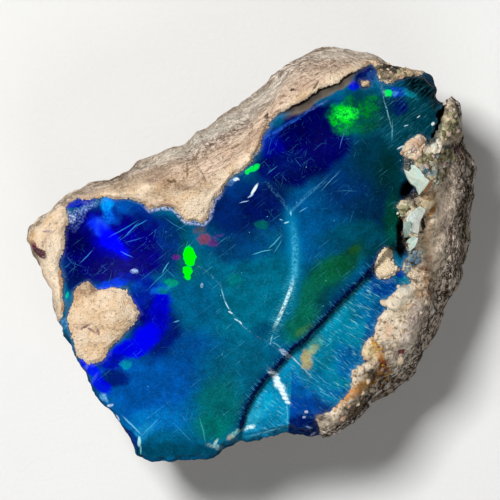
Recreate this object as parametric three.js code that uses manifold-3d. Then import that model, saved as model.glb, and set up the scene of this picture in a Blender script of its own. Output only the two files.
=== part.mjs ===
// Rough opal: half of a broken nodule, blue-green precious opal in its cream rind, as one solid.
// It lies on the back of the rind with the broken opal face up. Millimetres, +Z up, +X to the right and
// +Y to the top of the face. The origin is under the middle of its box, on the flat that it rests on.
import * as THREE from "three";
import { mergeVertices } from "three/addons/utils/BufferGeometryUtils.js";
import Module from "manifold-3d";

// ---------- driving dimensions ----------

const CROWN = { x: 5.8, y: 5.6, z: 27.2 }; // the highest point of the opal, where three fractures meet
const FACE_CELLS = 38; // cells along each side of the face's grid
const SHOULDER_ROWS = 4; // rows from the face's border out to the widest line
const BELLY_ROWS = 11; // rows from the widest line down to the foot
const FOOT = { x: 1, y: -3, radius: 11.5, oval: 1.6, corner: 0.9 }; // the worn flat on the back

// The outline seen from above, round from the left tip over the top, as [x, y].
const OUTLINE = [
  [-31, 1.8], [-30.6, 3.5], [-27.8, 6.3], [-24.7, 8.4], [-20.2, 9.8], [-17.9, 10.5], [-13.8, 13.5],
  [-11.8, 14.7], [-9, 15.5], [-7.4, 17.5], [-6, 17.7], [-2.6, 19.8], [-0.9, 20.4], [3, 23.8],
  [4.8, 25.7], [9.3, 28.1], [12.1, 29], [14.2, 29.2], [16.3, 28.7], [20.9, 26.8], [24, 25.7],
  [25.7, 24.7], [26.7, 23.6], [27, 21.8], [27.8, 21.1], [28.6, 21.5], [29.2, 20.4], [29.8, 15.1],
  [30.9, 12.3], [31, 10.7], [30.6, 6], [29.2, -1.3], [27.1, -7.7], [24, -13.1], [19.5, -18.4],
  [15.3, -23.3], [12.8, -24.5], [8.9, -25.7], [5.5, -25], [1.9, -25.9], [-1.2, -26.4], [-3.7, -27.5],
  [-4.6, -28.6], [-8.2, -29], [-13.8, -29.2], [-15.5, -28.6], [-16.5, -26.2], [-18.7, -22.6],
  [-20.8, -20.8], [-22.9, -16.7], [-25.3, -12.4], [-27.2, -9.4], [-27.8, -5.2], [-29.8, -1.4],
];

// The flank at stations round the stone: the turn in degrees from +X, the width of the rounded shoulder,
// the height of the widest line, how square the belly is (2 is round), and the share that is bare break.
const FLANKS = [
  { turn: 0, shoulder: 7.6, waist: 11.5, square: 2.1, broken: 0 },
  { turn: 20, shoulder: 6.6, waist: 12, square: 2.1, broken: 0 },
  { turn: 36, shoulder: 3.4, waist: 14, square: 2.2, broken: 0 },
  { turn: 42, shoulder: 1.6, waist: 17.5, square: 2.4, broken: 0 },
  { turn: 51, shoulder: 3.2, waist: 16.5, square: 2.3, broken: 0 },
  { turn: 64, shoulder: 8, waist: 14, square: 2.2, broken: 0 },
  { turn: 92, shoulder: 8.4, waist: 13, square: 2.2, broken: 0 },
  { turn: 121, shoulder: 7.4, waist: 13, square: 2.2, broken: 0 },
  { turn: 150, shoulder: 4.4, waist: 14, square: 2.2, broken: 0 },
  { turn: 166, shoulder: 2.6, waist: 15, square: 2.2, broken: 0 },
  { turn: 178, shoulder: 2, waist: 15.5, square: 2.3, broken: 0 },
  { turn: 199, shoulder: 1.4, waist: 17, square: 2.6, broken: 0 },
  { turn: 207, shoulder: 0.8, waist: 20.5, square: 3.2, broken: 1 },
  { turn: 238, shoulder: 0.8, waist: 20.5, square: 3.4, broken: 1 },
  { turn: 262, shoulder: 1.2, waist: 19.5, square: 3.2, broken: 1 },
  { turn: 286, shoulder: 1.4, waist: 18.5, square: 2.8, broken: 1 },
  { turn: 294, shoulder: 3.4, waist: 14.5, square: 2.3, broken: 0 },
  { turn: 317, shoulder: 6.2, waist: 12, square: 2.1, broken: 0 },
  { turn: 338, shoulder: 7.2, waist: 11.5, square: 2.1, broken: 0 },
];
const LIP = 0.9; // the least drop from the face's border to the widest line
const EASE = { spread: 14, depth: 0.5 }; // the outline's nicks ease out over these degrees and this share
const BREAK_FLOOR = { from: 6.5, to: 9.5 }; // the bare break on the flanks ends between these heights

// Shell-shaped hollows of the broken flanks: centre, reach and depth.
const WALL_SCOOPS = [
  { x: -25.5, y: -13, z: 13.5, reach: 6.5, depth: 1.9 },
  { x: -19.5, y: -22, z: 11.5, reach: 7.5, depth: 2.3 },
  { x: -9, y: -29, z: 12.5, reach: 6.5, depth: 1.8 },
  { x: 3, y: -25.5, z: 13, reach: 6.5, depth: 1.7 },
];

// The window of bare opal in the face, round from its top left corner. Where it runs past the outline,
// the opal is broken through to the side.
const WINDOW = [
  [-25.1, 7], [-22.2, 7.5], [-18.3, 7.5], [-15.5, 7.2], [-13.8, 6], [-10.6, 6.3], [-8.6, 4.4],
  [-6.4, 4.2], [-5.5, 5.1], [-4.7, 7.4], [-2.3, 10.5], [0.2, 12.1], [1.3, 14], [3, 18.3], [9.2, 22.1],
  [14.9, 25.2], [17.2, 26.6], [19.1, 23.6], [22.3, 24.3], [25.4, 25.9], [27.5, 24.2], [27.4, 19.7],
  [26.5, 17.7], [25.1, 15.5], [22.6, 15.9], [21.4, 14.7], [21.6, 11.6], [23.2, 9.9], [23.5, 8.5],
  [20.7, 6.4], [21.6, 4.9], [21.6, 0.9], [22.3, -0.2], [21.2, -2], [22.8, -4.2], [19, -6.9],
  [19.4, -7.9], [18.1, -9], [17.6, -11.7], [15.9, -12.9], [16.6, -15.2], [14.6, -16.4], [14.4, -18.9],
  [11.4, -22.2], [9.5, -22.7], [10.3, -27], [-1.2, -28.5], [-3.3, -31.3], [-16.6, -31.3],
  [-20.1, -24.8], [-28.4, -10.8], [-26.8, -10.1], [-25.6, -7.3], [-25.8, -3.8], [-26.3, -1.3],
  [-25.6, 0.7], [-25.8, 2.6], [-25, 4.7],
];
const ISLAND = [
  [-24.4, -6.3], [-25.3, -8.7], [-25, -11.4], [-23.9, -14.3], [-22.3, -15.4], [-20.4, -15],
  [-19.5, -13.6], [-16.2, -10.1], [-15.2, -8.4], [-16, -6.6], [-17, -5.2], [-19.1, -4.7],
  [-21.1, -5.2], [-22.1, -4.1], [-23.6, -4.4],
];
const ISLET = [
  [19.1, 0.8], [17.4, -2.1], [18.3, -3.4], [19.5, -3.7], [21.1, -2.4], [20, 0.4],
];

// The three fractures that meet at the crown: how each climbs towards +X and +Y.
const FRACTURES = [
  [0.08, 0.13],
  [-0.25, 0.12],
  [-0.127, -0.018],
];
const FRACTURE_BLEND = 0.12; // mm over which two fractures round into one ridge

// Shell-shaped hollows of the break: centre, reach along and across, turn in degrees and depth.
const SCOOPS = [
  { x: -18.7, y: 1.1, along: 7, across: 5, turn: 10, depth: 1.3 },
  { x: -6, y: -13, along: 12, across: 8, turn: 35, depth: 1.1 },
  { x: 13, y: 2, along: 8, across: 4.5, turn: 70, depth: 0.7 },
  { x: 7, y: 16, along: 7, across: 4, turn: 40, depth: 0.9 },
  { x: -3, y: 3, along: 6, across: 4, turn: 60, depth: 0.7 },
];

// Where the lower right of the face has snapped off along a step. The line runs down the face, and the
// low side is on its left hand as it runs.
const STEP_LINE = [
  [17.9, -1.3], [15.6, -3.8], [12.8, -6.6], [7.9, -11.9], [5.8, -13.6], [3.7, -16], [0.5, -19.9],
  [-1.2, -24.4],
];
const STEP = { drop: 1.6, width: 1.5, lift: 0.12, lift_reach: 9, fade: 4 };

// The crack that crosses the step, the upright edge below it, and the wedge that falls away between.
const CRACK_LINE = [
  [-3.2, -6.9], [0.9, -11.5], [5.8, -15.2], [9, -18.2], [12.3, -20.5],
];
const WEDGE_EDGE = [
  [5.8, -14.2], [6, -17.8], [5.8, -20.6], [5.4, -26.5],
];
const WEDGE_FALL = 0.28;

const FOLD_LINE = [
  [17.3, 28], [18.4, 22.8], [20, 17.9], [21.4, 12],
];
const FOLD_FALL = 0.24; // how the upper right corner falls away past the fold
const FOLD_REACH = 8;
const TOE = { y: -26.6, from: -15.5, to: -4.5, fall: 0.7 }; // the bevel at the lower tip

// How far each stretch of rind stands above the opal beside it.
const RIND_RISE = { plain: 0.6, brow: 2, right: 1.3, bank: 1.6 };
const BROW = { x: 9.5, y: 24, reach: 7 }; // the overhanging brow at the top of the window
const RIGHT_RIND = { from: 18, to: 23 }; // the coarse rind begins between these x

// Lumps of the natural skin, as [size, height] of each octave.
const SKIN_LUMPS = [
  [8.5, 1.1],
  [3.6, 0.5],
];
const COARSE_LUMPS = [4.2, 1]; // and of the coarse rind on the right, as well
const LUMPS_START = 3; // the lumps reach their height this far into the rind
const OPAL_CALM = 0.08; // the share of the lumps that reaches the bare opal
const FOOT_CALM = 3.5; // the lumps fade out over this height above the foot

// Pits beside the flakes, as ellipsoids cut from the face.
const PITS = [
  { x: 22.1, y: 8.9, along: 1.4, across: 0.9, depth: 2.4, turn: 80 },
  { x: 21.7, y: 2.9, along: 2.5, across: 0.9, depth: 2.6, turn: 88 },
  { x: 27, y: 18.3, along: 2.4, across: 0.7, depth: 3.2, turn: 72 },
];

// Pale flakes that stand in the break on the right, as outlines in the face.
const FLAKES = [
  [[21.9, 12], [22.9, 12.6], [24, 11.7], [25.6, 9.9], [24.6, 8.1], [23.6, 8.8], [22.6, 10.6]],
  [[24, 6.7], [25.6, 6.4], [24.7, 4.9], [24.2, 2.9], [22.5, 1.2], [21.9, 2.9], [22.4, 4.6]],
  [[22.6, 1.4], [24.4, 2], [25, 0.2], [24.2, -1.4], [22.8, -1]],
];
const FLAKE = { sunk: 2.4, proud: 0.7, bevel: 0.25, slope_span: 1.5 };

// Crumbs along the coarse rind: a row of lumps that follows the window's right edge.
const CRUMB_LINE = [
  [26.4, 19.4], [25.6, 15.6], [23, 14.8], [25.6, 11.8], [26.6, 7], [26.4, 2], [25, -3], [22.4, -6],
  [20.4, -10], [18.6, -13], [16.8, -17], [14, -20.6], [11, -23.4],
];
const CRUMBS = { count: 36, smallest: 0.8, largest: 2, stray: 3.4, flat: 0.6, narrow: 0.7, sunk: -0.15 };

const OPAL_BLUE = 0x0f6e8c;

// ---------- measures in the plane ----------

const { smoothstep, lerp, degToRad, radToDeg, euclideanModulo } = THREE.MathUtils;

// The nearest point of the path to (x, y): its distance, positive on the path's left hand, and how far
// (x, y) lies past the nearer end.
function fromPath(x, y, path) {
  let best = { distance: Infinity };
  for (let k = 0; k < path.length - 1; k++) {
    const [ax, ay] = path[k];
    const [bx, by] = path[k + 1];
    const [ux, uy] = [bx - ax, by - ay];
    const long = Math.hypot(ux, uy);
    const along = ((x - ax) * ux + (y - ay) * uy) / long;
    const held = Math.min(Math.max(along, 0), long);
    const distance = Math.hypot(x - ax - (ux * held) / long, y - ay - (uy * held) / long);
    if (distance < best.distance) {
      const first = k === 0 ? Math.max(0, -along) : 0;
      const last = k === path.length - 2 ? Math.max(0, along - long) : 0;
      const side = ux * (y - ay) - uy * (x - ax);
      best = { distance, past: first + last, side: side < 0 ? -1 : 1 };
    }
  }
  return { signed: best.distance * best.side, past: best.past };
}

// The distance to a closed outline, positive inside it.
function insideOf(x, y, outline) {
  let inside = false;
  let nearest = Infinity;
  outline.forEach(([ax, ay], k) => {
    const [bx, by] = outline[(k + 1) % outline.length];
    if (ay > y !== by > y && x < ax + ((y - ay) * (bx - ax)) / (by - ay)) inside = !inside;
    nearest = Math.min(nearest, Math.abs(fromPath(x, y, [[ax, ay], [bx, by]]).signed));
  });
  return inside ? nearest : -nearest;
}

// The share of a scoop's depth at (x, y).
function scoopShare(x, y, { x: cx, y: cy, along, across, turn }) {
  const a = degToRad(turn);
  const u = ((x - cx) * Math.cos(a) + (y - cy) * Math.sin(a)) / along;
  const v = ((y - cy) * Math.cos(a) - (x - cx) * Math.sin(a)) / across;
  return Math.exp(-u * u - v * v);
}

// A repeatable number from 0 to 1 for a lattice corner.
function cornerNumber(i, j, k) {
  const s = Math.sin(i * 127.1 + j * 311.7 + k * 74.7) * 43758.5453;
  return s - Math.floor(s);
}

// Smooth lumps from -1 to 1, one lattice cell to a unit.
function lump(x, y, z) {
  const [i, j, k] = [Math.floor(x), Math.floor(y), Math.floor(z)];
  const [u, v, w] = [x - i, y - j, z - k].map((t) => t * t * t * (t * (t * 6 - 15) + 10));
  let sum = 0;
  for (const a of [0, 1])
    for (const b of [0, 1])
      for (const c of [0, 1]) {
        const share = (a ? u : 1 - u) * (b ? v : 1 - v) * (c ? w : 1 - w);
        sum += share * cornerNumber(i + a, j + b, k + c);
      }
  return 2 * sum - 1;
}

// ---------- the face ----------

// How deep (x, y) lies in rind, in mm: negative over bare opal.
function rindDepth(x, y) {
  return Math.max(-insideOf(x, y, WINDOW), insideOf(x, y, ISLAND), insideOf(x, y, ISLET));
}

// The broken opal: three planes under the crown in a soft minimum, less the scoops, the step, the wedge,
// the fold and the toe.
function opalHeight(x, y) {
  const planes = FRACTURES.map(([gx, gy]) => gx * (x - CROWN.x) + gy * (y - CROWN.y));
  const spread = planes.reduce((sum, p) => sum + Math.exp(-p / FRACTURE_BLEND), 0);
  let z = CROWN.z - FRACTURE_BLEND * Math.log(spread);
  for (const scoop of SCOOPS) z -= scoop.depth * scoopShare(x, y, scoop);

  const step = fromPath(x, y, STEP_LINE);
  const low = step.signed * (1 - smoothstep(step.past, 0, STEP.fade));
  z -= STEP.drop * smoothstep(low, 0, STEP.width);
  z += STEP.lift * Math.min(Math.max(low, 0), STEP.lift_reach);

  const east = fromPath(x, y, WEDGE_EDGE).signed;
  const south = -fromPath(x, y, CRACK_LINE).signed;
  z -= WEDGE_FALL * Math.max(0, Math.min(east, south));

  const past = fromPath(x, y, FOLD_LINE).signed;
  z -= FOLD_FALL * Math.min(Math.max(past, 0), FOLD_REACH);

  if (x > TOE.from && x < TOE.to) z -= TOE.fall * Math.max(0, TOE.y - y);
  return z;
}

// The face with its rind, which climbs to its full rise in a short bank.
function faceHeight(x, y) {
  const brow = Math.exp(-(((x - BROW.x) / BROW.reach) ** 2) - ((y - BROW.y) / BROW.reach) ** 2);
  const right = smoothstep(x, RIGHT_RIND.from, RIGHT_RIND.to) * (1 - brow);
  const rise = RIND_RISE.plain + (RIND_RISE.brow - RIND_RISE.plain) * brow;
  const bank = smoothstep(rindDepth(x, y), 0, RIND_RISE.bank);
  return opalHeight(x, y) + bank * lerp(rise, RIND_RISE.right, right);
}

// ---------- the flanks ----------

// A value that runs smoothly through its stations round the stone.
function round(turn, stations, turnOf, valueOf) {
  const after = stations.findIndex((s) => turnOf(s) > turn);
  const high = stations[after < 0 ? 0 : after];
  const low = stations[after <= 0 ? stations.length - 1 : after - 1];
  const gap = euclideanModulo(turnOf(high) - turnOf(low), 360);
  const share = euclideanModulo(turn - turnOf(low), 360) / gap;
  return lerp(valueOf(low), valueOf(high), share);
}

// The turn of (x, y) round the stone, in degrees from +X.
function turnOf(x, y) {
  return euclideanModulo(radToDeg(Math.atan2(y, x)), 360);
}

const RIM = OUTLINE.map(([x, y]) => ({ turn: turnOf(x, y), reach: Math.hypot(x, y) }));
RIM.sort((a, b) => a.turn - b.turn);

// Everything that the profile at this turn needs.
function flankAt(turn) {
  const a = degToRad(turn);
  const way = [Math.cos(a), Math.sin(a)];
  const station = (name) => round(turn, FLANKS, (s) => s.turn, (s) => s[name]);
  const rim = (t) => round(euclideanModulo(t, 360), RIM, (s) => s.turn, (s) => s.reach);
  const nearby = [-1, -0.5, 0, 0.5, 1].map((share) => rim(turn + share * EASE.spread));
  const reach = rim(turn);
  const border = reach - station("shoulder");
  const foot = FOOT.radius + FOOT.oval * Math.cos(2 * a + 0.6) + FOOT.corner * Math.cos(3 * a - 1);
  return {
    way,
    reach,
    eased: nearby.reduce((sum, r) => sum + r, 0) / nearby.length,
    shoulder: station("shoulder"),
    waist: Math.min(station("waist"), faceHeight(way[0] * border, way[1] * border) - LIP),
    square: station("square"),
    broken: station("broken"),
    foot: [FOOT.x + foot * way[0], FOOT.y + foot * way[1]],
  };
}

// A point on the shoulder: a quarter oval from the face's border (share 0) to the widest line (share 1).
function shoulderPoint({ way, reach, shoulder, waist }, share) {
  const out = reach - shoulder * (1 - Math.sin((share * Math.PI) / 2));
  const [x, y] = [way[0] * out, way[1] * out];
  return [x, y, waist + (faceHeight(x, y) - waist) * Math.cos((share * Math.PI) / 2)];
}

// A point on the belly: a quarter superellipse from the widest line (share 0) in to the foot (share 1).
function bellyPoint({ way, reach, eased, waist, square, foot }, share) {
  const out = Math.cos((share * Math.PI) / 2) ** (2 / square);
  const down = Math.sin((share * Math.PI) / 2) ** (2 / square);
  const wide = lerp(reach, eased, smoothstep(share, 0, EASE.depth));
  return [lerp(foot[0], way[0] * wide, out), lerp(foot[1], way[1] * wide, out), waist * (1 - down)];
}

// ---------- the body ----------

// The turn and share of the reach of each point of a square grid drawn out to a disc.
function onDisc(i, j) {
  const [a, b] = [(2 * i) / FACE_CELLS - 1, (2 * j) / FACE_CELLS - 1];
  if (a === 0 && b === 0) return { turn: 0, share: 0 };
  const wide = Math.abs(a) >= Math.abs(b);
  const share = wide ? Math.abs(a) : Math.abs(b);
  const turn = wide ? (a > 0 ? 0 : 180) + (45 * b) / a : (b > 0 ? 90 : 270) - (45 * a) / b;
  return { turn: euclideanModulo(turn, 360), share };
}

// The closed surface: a square grid over the face, rows round the shoulder and belly, and a flat foot.
function bodyGeometry() {
  const points = [];
  const triangles = [];
  const quad = (a, b, c, d) => triangles.push(a, b, c, a, c, d);
  const at = (i, j) => i * (FACE_CELLS + 1) + j;

  for (let i = 0; i <= FACE_CELLS; i++)
    for (let j = 0; j <= FACE_CELLS; j++) {
      const { turn, share } = onDisc(i, j);
      const flank = flankAt(turn);
      const out = share * (flank.reach - flank.shoulder);
      const [x, y] = [flank.way[0] * out, flank.way[1] * out];
      points.push([x, y, faceHeight(x, y)]);
    }
  for (let i = 0; i < FACE_CELLS; i++)
    for (let j = 0; j < FACE_CELLS; j++) quad(at(i, j), at(i + 1, j), at(i + 1, j + 1), at(i, j + 1));

  // the face's border, anticlockwise seen from above
  const border = [];
  for (let s = 0; s < FACE_CELLS; s++) border.push([s, 0]);
  for (let s = 0; s < FACE_CELLS; s++) border.push([FACE_CELLS, s]);
  for (let s = FACE_CELLS; s > 0; s--) border.push([s, FACE_CELLS]);
  for (let s = FACE_CELLS; s > 0; s--) border.push([0, s]);
  const flanks = border.map(([i, j]) => flankAt(onDisc(i, j).turn));
  const rows = [
    ...Array.from({ length: SHOULDER_ROWS }, (_, r) => [shoulderPoint, (r + 1) / SHOULDER_ROWS]),
    ...Array.from({ length: BELLY_ROWS }, (_, r) => [bellyPoint, (r + 1) / BELLY_ROWS]),
  ];
  let above = border.map(([i, j]) => at(i, j));
  for (const [pointOf, share] of rows) {
    const row = flanks.map((flank) => points.push(pointOf(flank, share)) - 1);
    row.forEach((_, k) => {
      const next = (k + 1) % row.length;
      quad(above[k], row[k], row[next], above[next]);
    });
    above = row;
  }
  const middle = points.push([FOOT.x, FOOT.y, 0]) - 1;
  above.forEach((corner, k) => triangles.push(above[(k + 1) % above.length], corner, middle));

  const geometry = new THREE.BufferGeometry();
  geometry.setAttribute("position", new THREE.Float32BufferAttribute(points.flat(), 3));
  geometry.setIndex(triangles);
  geometry.computeVertexNormals();
  return geometry;
}

// How far the surface is pushed out at a point: the skin by its lumps, the broken flanks by their hollows.
function relief({ x, y, z }, outward) {
  const { broken } = flankAt(turnOf(x, y));
  const side = smoothstep(-outward.z, -0.5, 0.2);
  const bare = side * broken * smoothstep(z, BREAK_FLOOR.from, BREAK_FLOOR.to);
  const skin = Math.max(OPAL_CALM, smoothstep(rindDepth(x, y), 0, LUMPS_START), side * (1 - bare));
  const coarse = smoothstep(x, RIGHT_RIND.from, RIGHT_RIND.to);
  const octaves = [...SKIN_LUMPS, [COARSE_LUMPS[0], COARSE_LUMPS[1] * coarse]];
  let height = 0;
  for (const [size, tall] of octaves) height += tall * skin * lump(x / size, y / size, z / size);
  for (const scoop of WALL_SCOOPS) {
    const away = Math.hypot(x - scoop.x, y - scoop.y, z - scoop.z) / scoop.reach;
    height -= scoop.depth * Math.max(0, 1 - away * away);
  }
  return height * smoothstep(z, 0, FOOT_CALM);
}

function withRelief(geometry) {
  const { position, normal } = geometry.attributes;
  const point = new THREE.Vector3();
  const outward = new THREE.Vector3();
  for (let k = 0; k < position.count; k++) {
    point.fromBufferAttribute(position, k);
    outward.fromBufferAttribute(normal, k);
    point.addScaledVector(outward, relief(point, outward));
    position.setXYZ(k, point.x, point.y, point.z);
  }
  return geometry;
}

// ---------- pieces grown on or broken out of the face ----------

const wasm = await Module();
wasm.setup();

function solidOf(geometry) {
  const bare = geometry.clone();
  bare.deleteAttribute("normal");
  bare.deleteAttribute("uv");
  const merged = mergeVertices(bare, 1e-4);
  return new wasm.Manifold(
    new wasm.Mesh({
      numProp: 3,
      vertProperties: new Float32Array(merged.attributes.position.array),
      triVerts: new Uint32Array(merged.index.array),
    }),
  );
}

// A lump of flat facets at a place on the face.
function nugget({ x, y, z, along, across, tall, turn }) {
  const geometry = new THREE.IcosahedronGeometry(1, 0);
  geometry.scale(along, across, tall);
  geometry.rotateZ(degToRad(turn));
  geometry.translate(x, y, z);
  return solidOf(geometry);
}

// The height at which a drop from above lands on the body.
function landing(x, y, body) {
  const drop = new THREE.Raycaster(new THREE.Vector3(x, y, 2 * CROWN.z), new THREE.Vector3(0, 0, -1));
  return drop.intersectObject(body)[0].point.z;
}

// A flake leans as the body does under it.
function flakeSolid(outline, body) {
  const shape = new THREE.Shape(outline.map(([x, y]) => new THREE.Vector2(x, y)));
  const [cx, cy] = [0, 1].map((axis) => outline.reduce((sum, p) => sum + p[axis], 0) / outline.length);
  const geometry = new THREE.ExtrudeGeometry(shape, {
    depth: FLAKE.sunk + FLAKE.proud - FLAKE.bevel,
    bevelThickness: FLAKE.bevel,
    bevelSize: FLAKE.bevel,
    bevelOffset: -FLAKE.bevel,
    bevelSegments: 1,
  });
  const span = FLAKE.slope_span;
  const leanX = (landing(cx + span, cy, body) - landing(cx - span, cy, body)) / (2 * span);
  const leanY = (landing(cx, cy + span, body) - landing(cx, cy - span, body)) / (2 * span);
  const lean = new THREE.Matrix4();
  lean.set(1, 0, 0, 0, 0, 1, 0, 0, leanX, leanY, 1, 0, 0, 0, 0, 1);
  geometry.translate(-cx, -cy, landing(cx, cy, body) - FLAKE.sunk);
  geometry.applyMatrix4(lean).translate(cx, cy, 0);
  return solidOf(geometry);
}

// The k-th crumb: places, sizes and turns step through the golden ratio, so they never line up.
function crumbSolid(k, body) {
  const golden = (start) => (start + k * 0.6180339887) % 1;
  const along = ((k + 0.5) / CRUMBS.count) * (CRUMB_LINE.length - 1);
  const leg = Math.floor(along);
  const [from, to] = [CRUMB_LINE[leg], CRUMB_LINE[leg + 1]];
  const x = lerp(from[0], to[0], along - leg) + CRUMBS.stray * (golden(0.3) - 0.5);
  const y = lerp(from[1], to[1], along - leg) + CRUMBS.stray * (golden(0.71) - 0.5);
  const size = lerp(CRUMBS.smallest, CRUMBS.largest, golden(0.13));
  const tall = size * CRUMBS.flat;
  const z = landing(x, y, body) + tall * CRUMBS.sunk;
  return nugget({ x, y, z, along: size, across: size * CRUMBS.narrow, tall, turn: 360 * golden(0.5) });
}

function opalStone() {
  const body = new THREE.Mesh(withRelief(bodyGeometry()));
  let stone = solidOf(body.geometry);
  for (const pit of PITS) {
    const place = { ...pit, z: landing(pit.x, pit.y, body), tall: pit.depth };
    stone = stone.subtract(nugget(place));
  }
  for (const outline of FLAKES) stone = stone.add(flakeSolid(outline, body));
  for (let k = 0; k < CRUMBS.count; k++) stone = stone.add(crumbSolid(k, body));

  const { vertProperties, triVerts } = stone.getMesh();
  const geometry = new THREE.BufferGeometry();
  geometry.setAttribute("position", new THREE.BufferAttribute(vertProperties, 3));
  geometry.setIndex(new THREE.BufferAttribute(triVerts, 1));
  geometry.computeBoundingBox();
  const middle = geometry.boundingBox.getCenter(new THREE.Vector3());
  geometry.translate(-middle.x, -middle.y, -geometry.boundingBox.min.z);
  geometry.computeVertexNormals();
  return geometry;
}

const opal = new THREE.MeshStandardMaterial({ color: OPAL_BLUE, roughness: 0.2, metalness: 0 });
const stone = new THREE.Mesh(opalStone(), opal);
stone.name = "rough_opal";

const part = new THREE.Group();
part.add(stone);
export default part;
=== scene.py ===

"""A rough opal: a broken nodule of blue-green opal in its cream rind, lying on its rounded back.

The stone is one closed surface: a square grid drawn out to a disc carries the broken face and the rind
round it, and rows round the shoulder and the belly carry the flanks down to a flat foot. Crumbs and chalk
flakes sit in the coarse rind on the right. Shapes are in millimetres of the stone's own plan, and are moved
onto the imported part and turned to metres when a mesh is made.
"""

import logging
import math
from collections.abc import Sequence
from dataclasses import dataclass, field
from enum import Enum

import bpy
import numpy as np
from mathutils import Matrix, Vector
from mathutils.bvhtree import BVHTree
from numpy.typing import NDArray


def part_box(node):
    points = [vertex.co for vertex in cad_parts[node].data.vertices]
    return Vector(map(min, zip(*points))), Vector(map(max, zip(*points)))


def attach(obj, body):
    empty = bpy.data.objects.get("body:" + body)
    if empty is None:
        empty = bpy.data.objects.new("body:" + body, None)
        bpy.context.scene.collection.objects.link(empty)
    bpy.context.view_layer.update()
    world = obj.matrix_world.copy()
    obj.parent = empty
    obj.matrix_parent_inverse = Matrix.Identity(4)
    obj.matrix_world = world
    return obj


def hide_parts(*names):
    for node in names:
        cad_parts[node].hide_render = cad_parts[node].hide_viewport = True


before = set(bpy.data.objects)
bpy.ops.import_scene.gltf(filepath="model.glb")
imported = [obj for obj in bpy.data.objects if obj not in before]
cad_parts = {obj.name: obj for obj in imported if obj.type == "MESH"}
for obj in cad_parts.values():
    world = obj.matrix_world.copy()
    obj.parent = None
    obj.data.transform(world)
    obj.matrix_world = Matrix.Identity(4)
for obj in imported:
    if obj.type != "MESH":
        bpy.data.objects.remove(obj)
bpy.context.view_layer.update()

Array = NDArray[np.float64]
Pair = tuple[float, float]
Path = list[Pair]
Triple = tuple[float, float, float]
Socket = bpy.types.NodeSocket
Feed = Socket | float | Triple | str

LOG = logging.getLogger("rough_opal")
MM = 0.001
NODE = "rough_opal"
BODY = "root"
PLASTIC = 0.7548776662
SCRAMBLE = 43758.5453
TRIES_EACH = 8


# ---------- outlines and lines of the face, in millimetres ----------

# seen from above, round from the left tip over the top
OUTLINE: Path = [
    (-31, 1.8), (-30.6, 3.5), (-27.8, 6.3), (-24.7, 8.4), (-20.2, 9.8), (-17.9, 10.5), (-13.8, 13.5),
    (-11.8, 14.7), (-9, 15.5), (-7.4, 17.5), (-6, 17.7), (-2.6, 19.8), (-0.9, 20.4), (3, 23.8),
    (4.8, 25.7), (9.3, 28.1), (12.1, 29), (14.2, 29.2), (16.3, 28.7), (20.9, 26.8), (24, 25.7),
    (25.7, 24.7), (26.7, 23.6), (27, 21.8), (27.8, 21.1), (28.6, 21.5), (29.2, 20.4), (29.8, 15.1),
    (30.9, 12.3), (31, 10.7), (30.6, 6), (29.2, -1.3), (27.1, -7.7), (24, -13.1), (19.5, -18.4),
    (15.3, -23.3), (12.8, -24.5), (8.9, -25.7), (5.5, -25), (1.9, -25.9), (-1.2, -26.4), (-3.7, -27.5),
    (-4.6, -28.6), (-8.2, -29), (-13.8, -29.2), (-15.5, -28.6), (-16.5, -26.2), (-18.7, -22.6),
    (-20.8, -20.8), (-22.9, -16.7), (-25.3, -12.4), (-27.2, -9.4), (-27.8, -5.2), (-29.8, -1.4),
]

# bare opal; where this runs past the outline, the opal is broken through to the side
WINDOW: Path = [
    (-25.1, 7), (-23.9, 7.5), (-22.2, 7.5), (-20.4, 7.9), (-18.3, 7.5), (-17.2, 7.9), (-15.5, 7.2),
    (-13.8, 6), (-12, 6.5), (-10.6, 6.3), (-8.6, 4.4), (-6.4, 4.2), (-5.5, 5.1), (-4.7, 7.4),
    (-3.7, 8.8), (-2.3, 10.5), (0.2, 12.1), (1.3, 14), (2.2, 16.1), (3, 18.3), (5.8, 20.1), (9.2, 22.1),
    (12.3, 23.6), (14.9, 25.2), (17.2, 26.6), (18, 25.4), (19.1, 23.6), (20.5, 23.9), (22.3, 24.3),
    (23.7, 25), (25.4, 25.9), (27.5, 24.2), (27.4, 19.7), (26.5, 17.7), (25.1, 15.5), (24.2, 16.3),
    (22.6, 15.9), (21.4, 14.7), (21.8, 13.3), (21.6, 11.6), (23.2, 9.9), (23.5, 8.5), (21.8, 7.4),
    (20.7, 6.4), (21.6, 4.9), (21.6, 0.9), (22.3, -0.2), (21.2, -2), (22.8, -4.2), (20.7, -5.1),
    (19, -6.9), (19.4, -7.9), (18.1, -9), (17.6, -11.7), (15.9, -12.9), (15.9, -14.2), (16.6, -15.2),
    (14.6, -16.4), (14.4, -18.9), (12.4, -21), (11.4, -22.2), (9.5, -22.7), (10.3, -27),
    (-1.2, -28.5), (-3.3, -31.3), (-16.6, -31.3), (-20.1, -24.8), (-28.4, -10.8), (-26.8, -10.1),
    (-26, -8.9), (-25.6, -7.3), (-26, -5.6), (-25.8, -3.8), (-26.3, -1.3), (-25.6, 0.7), (-25.8, 2.6),
    (-25, 4.7), (-25.4, 6.3),
]
ISLAND: Path = [
    (-24.4, -6.3), (-25.3, -8.7), (-25, -11.4), (-23.9, -14.3), (-22.3, -15.4), (-20.4, -15),
    (-19.5, -13.6), (-17.9, -12.2), (-16.2, -10.1), (-15.2, -8.4), (-16, -6.6), (-17, -5.2),
    (-19.1, -4.7), (-21.1, -5.2), (-22.1, -4.1), (-23.6, -4.4),
]
ISLET: Path = [
    (19.1, 0.8), (18, -0.7), (17.4, -2.1), (18.3, -3.4), (19.5, -3.7), (21.1, -2.4), (20.2, -0.9),
    (20, 0.4),
]
CRUMB_SPOT: Path = [(15.5, 23.8), (15.9, 22.9), (16.9, 23.1), (16.8, 23.9)]
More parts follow.
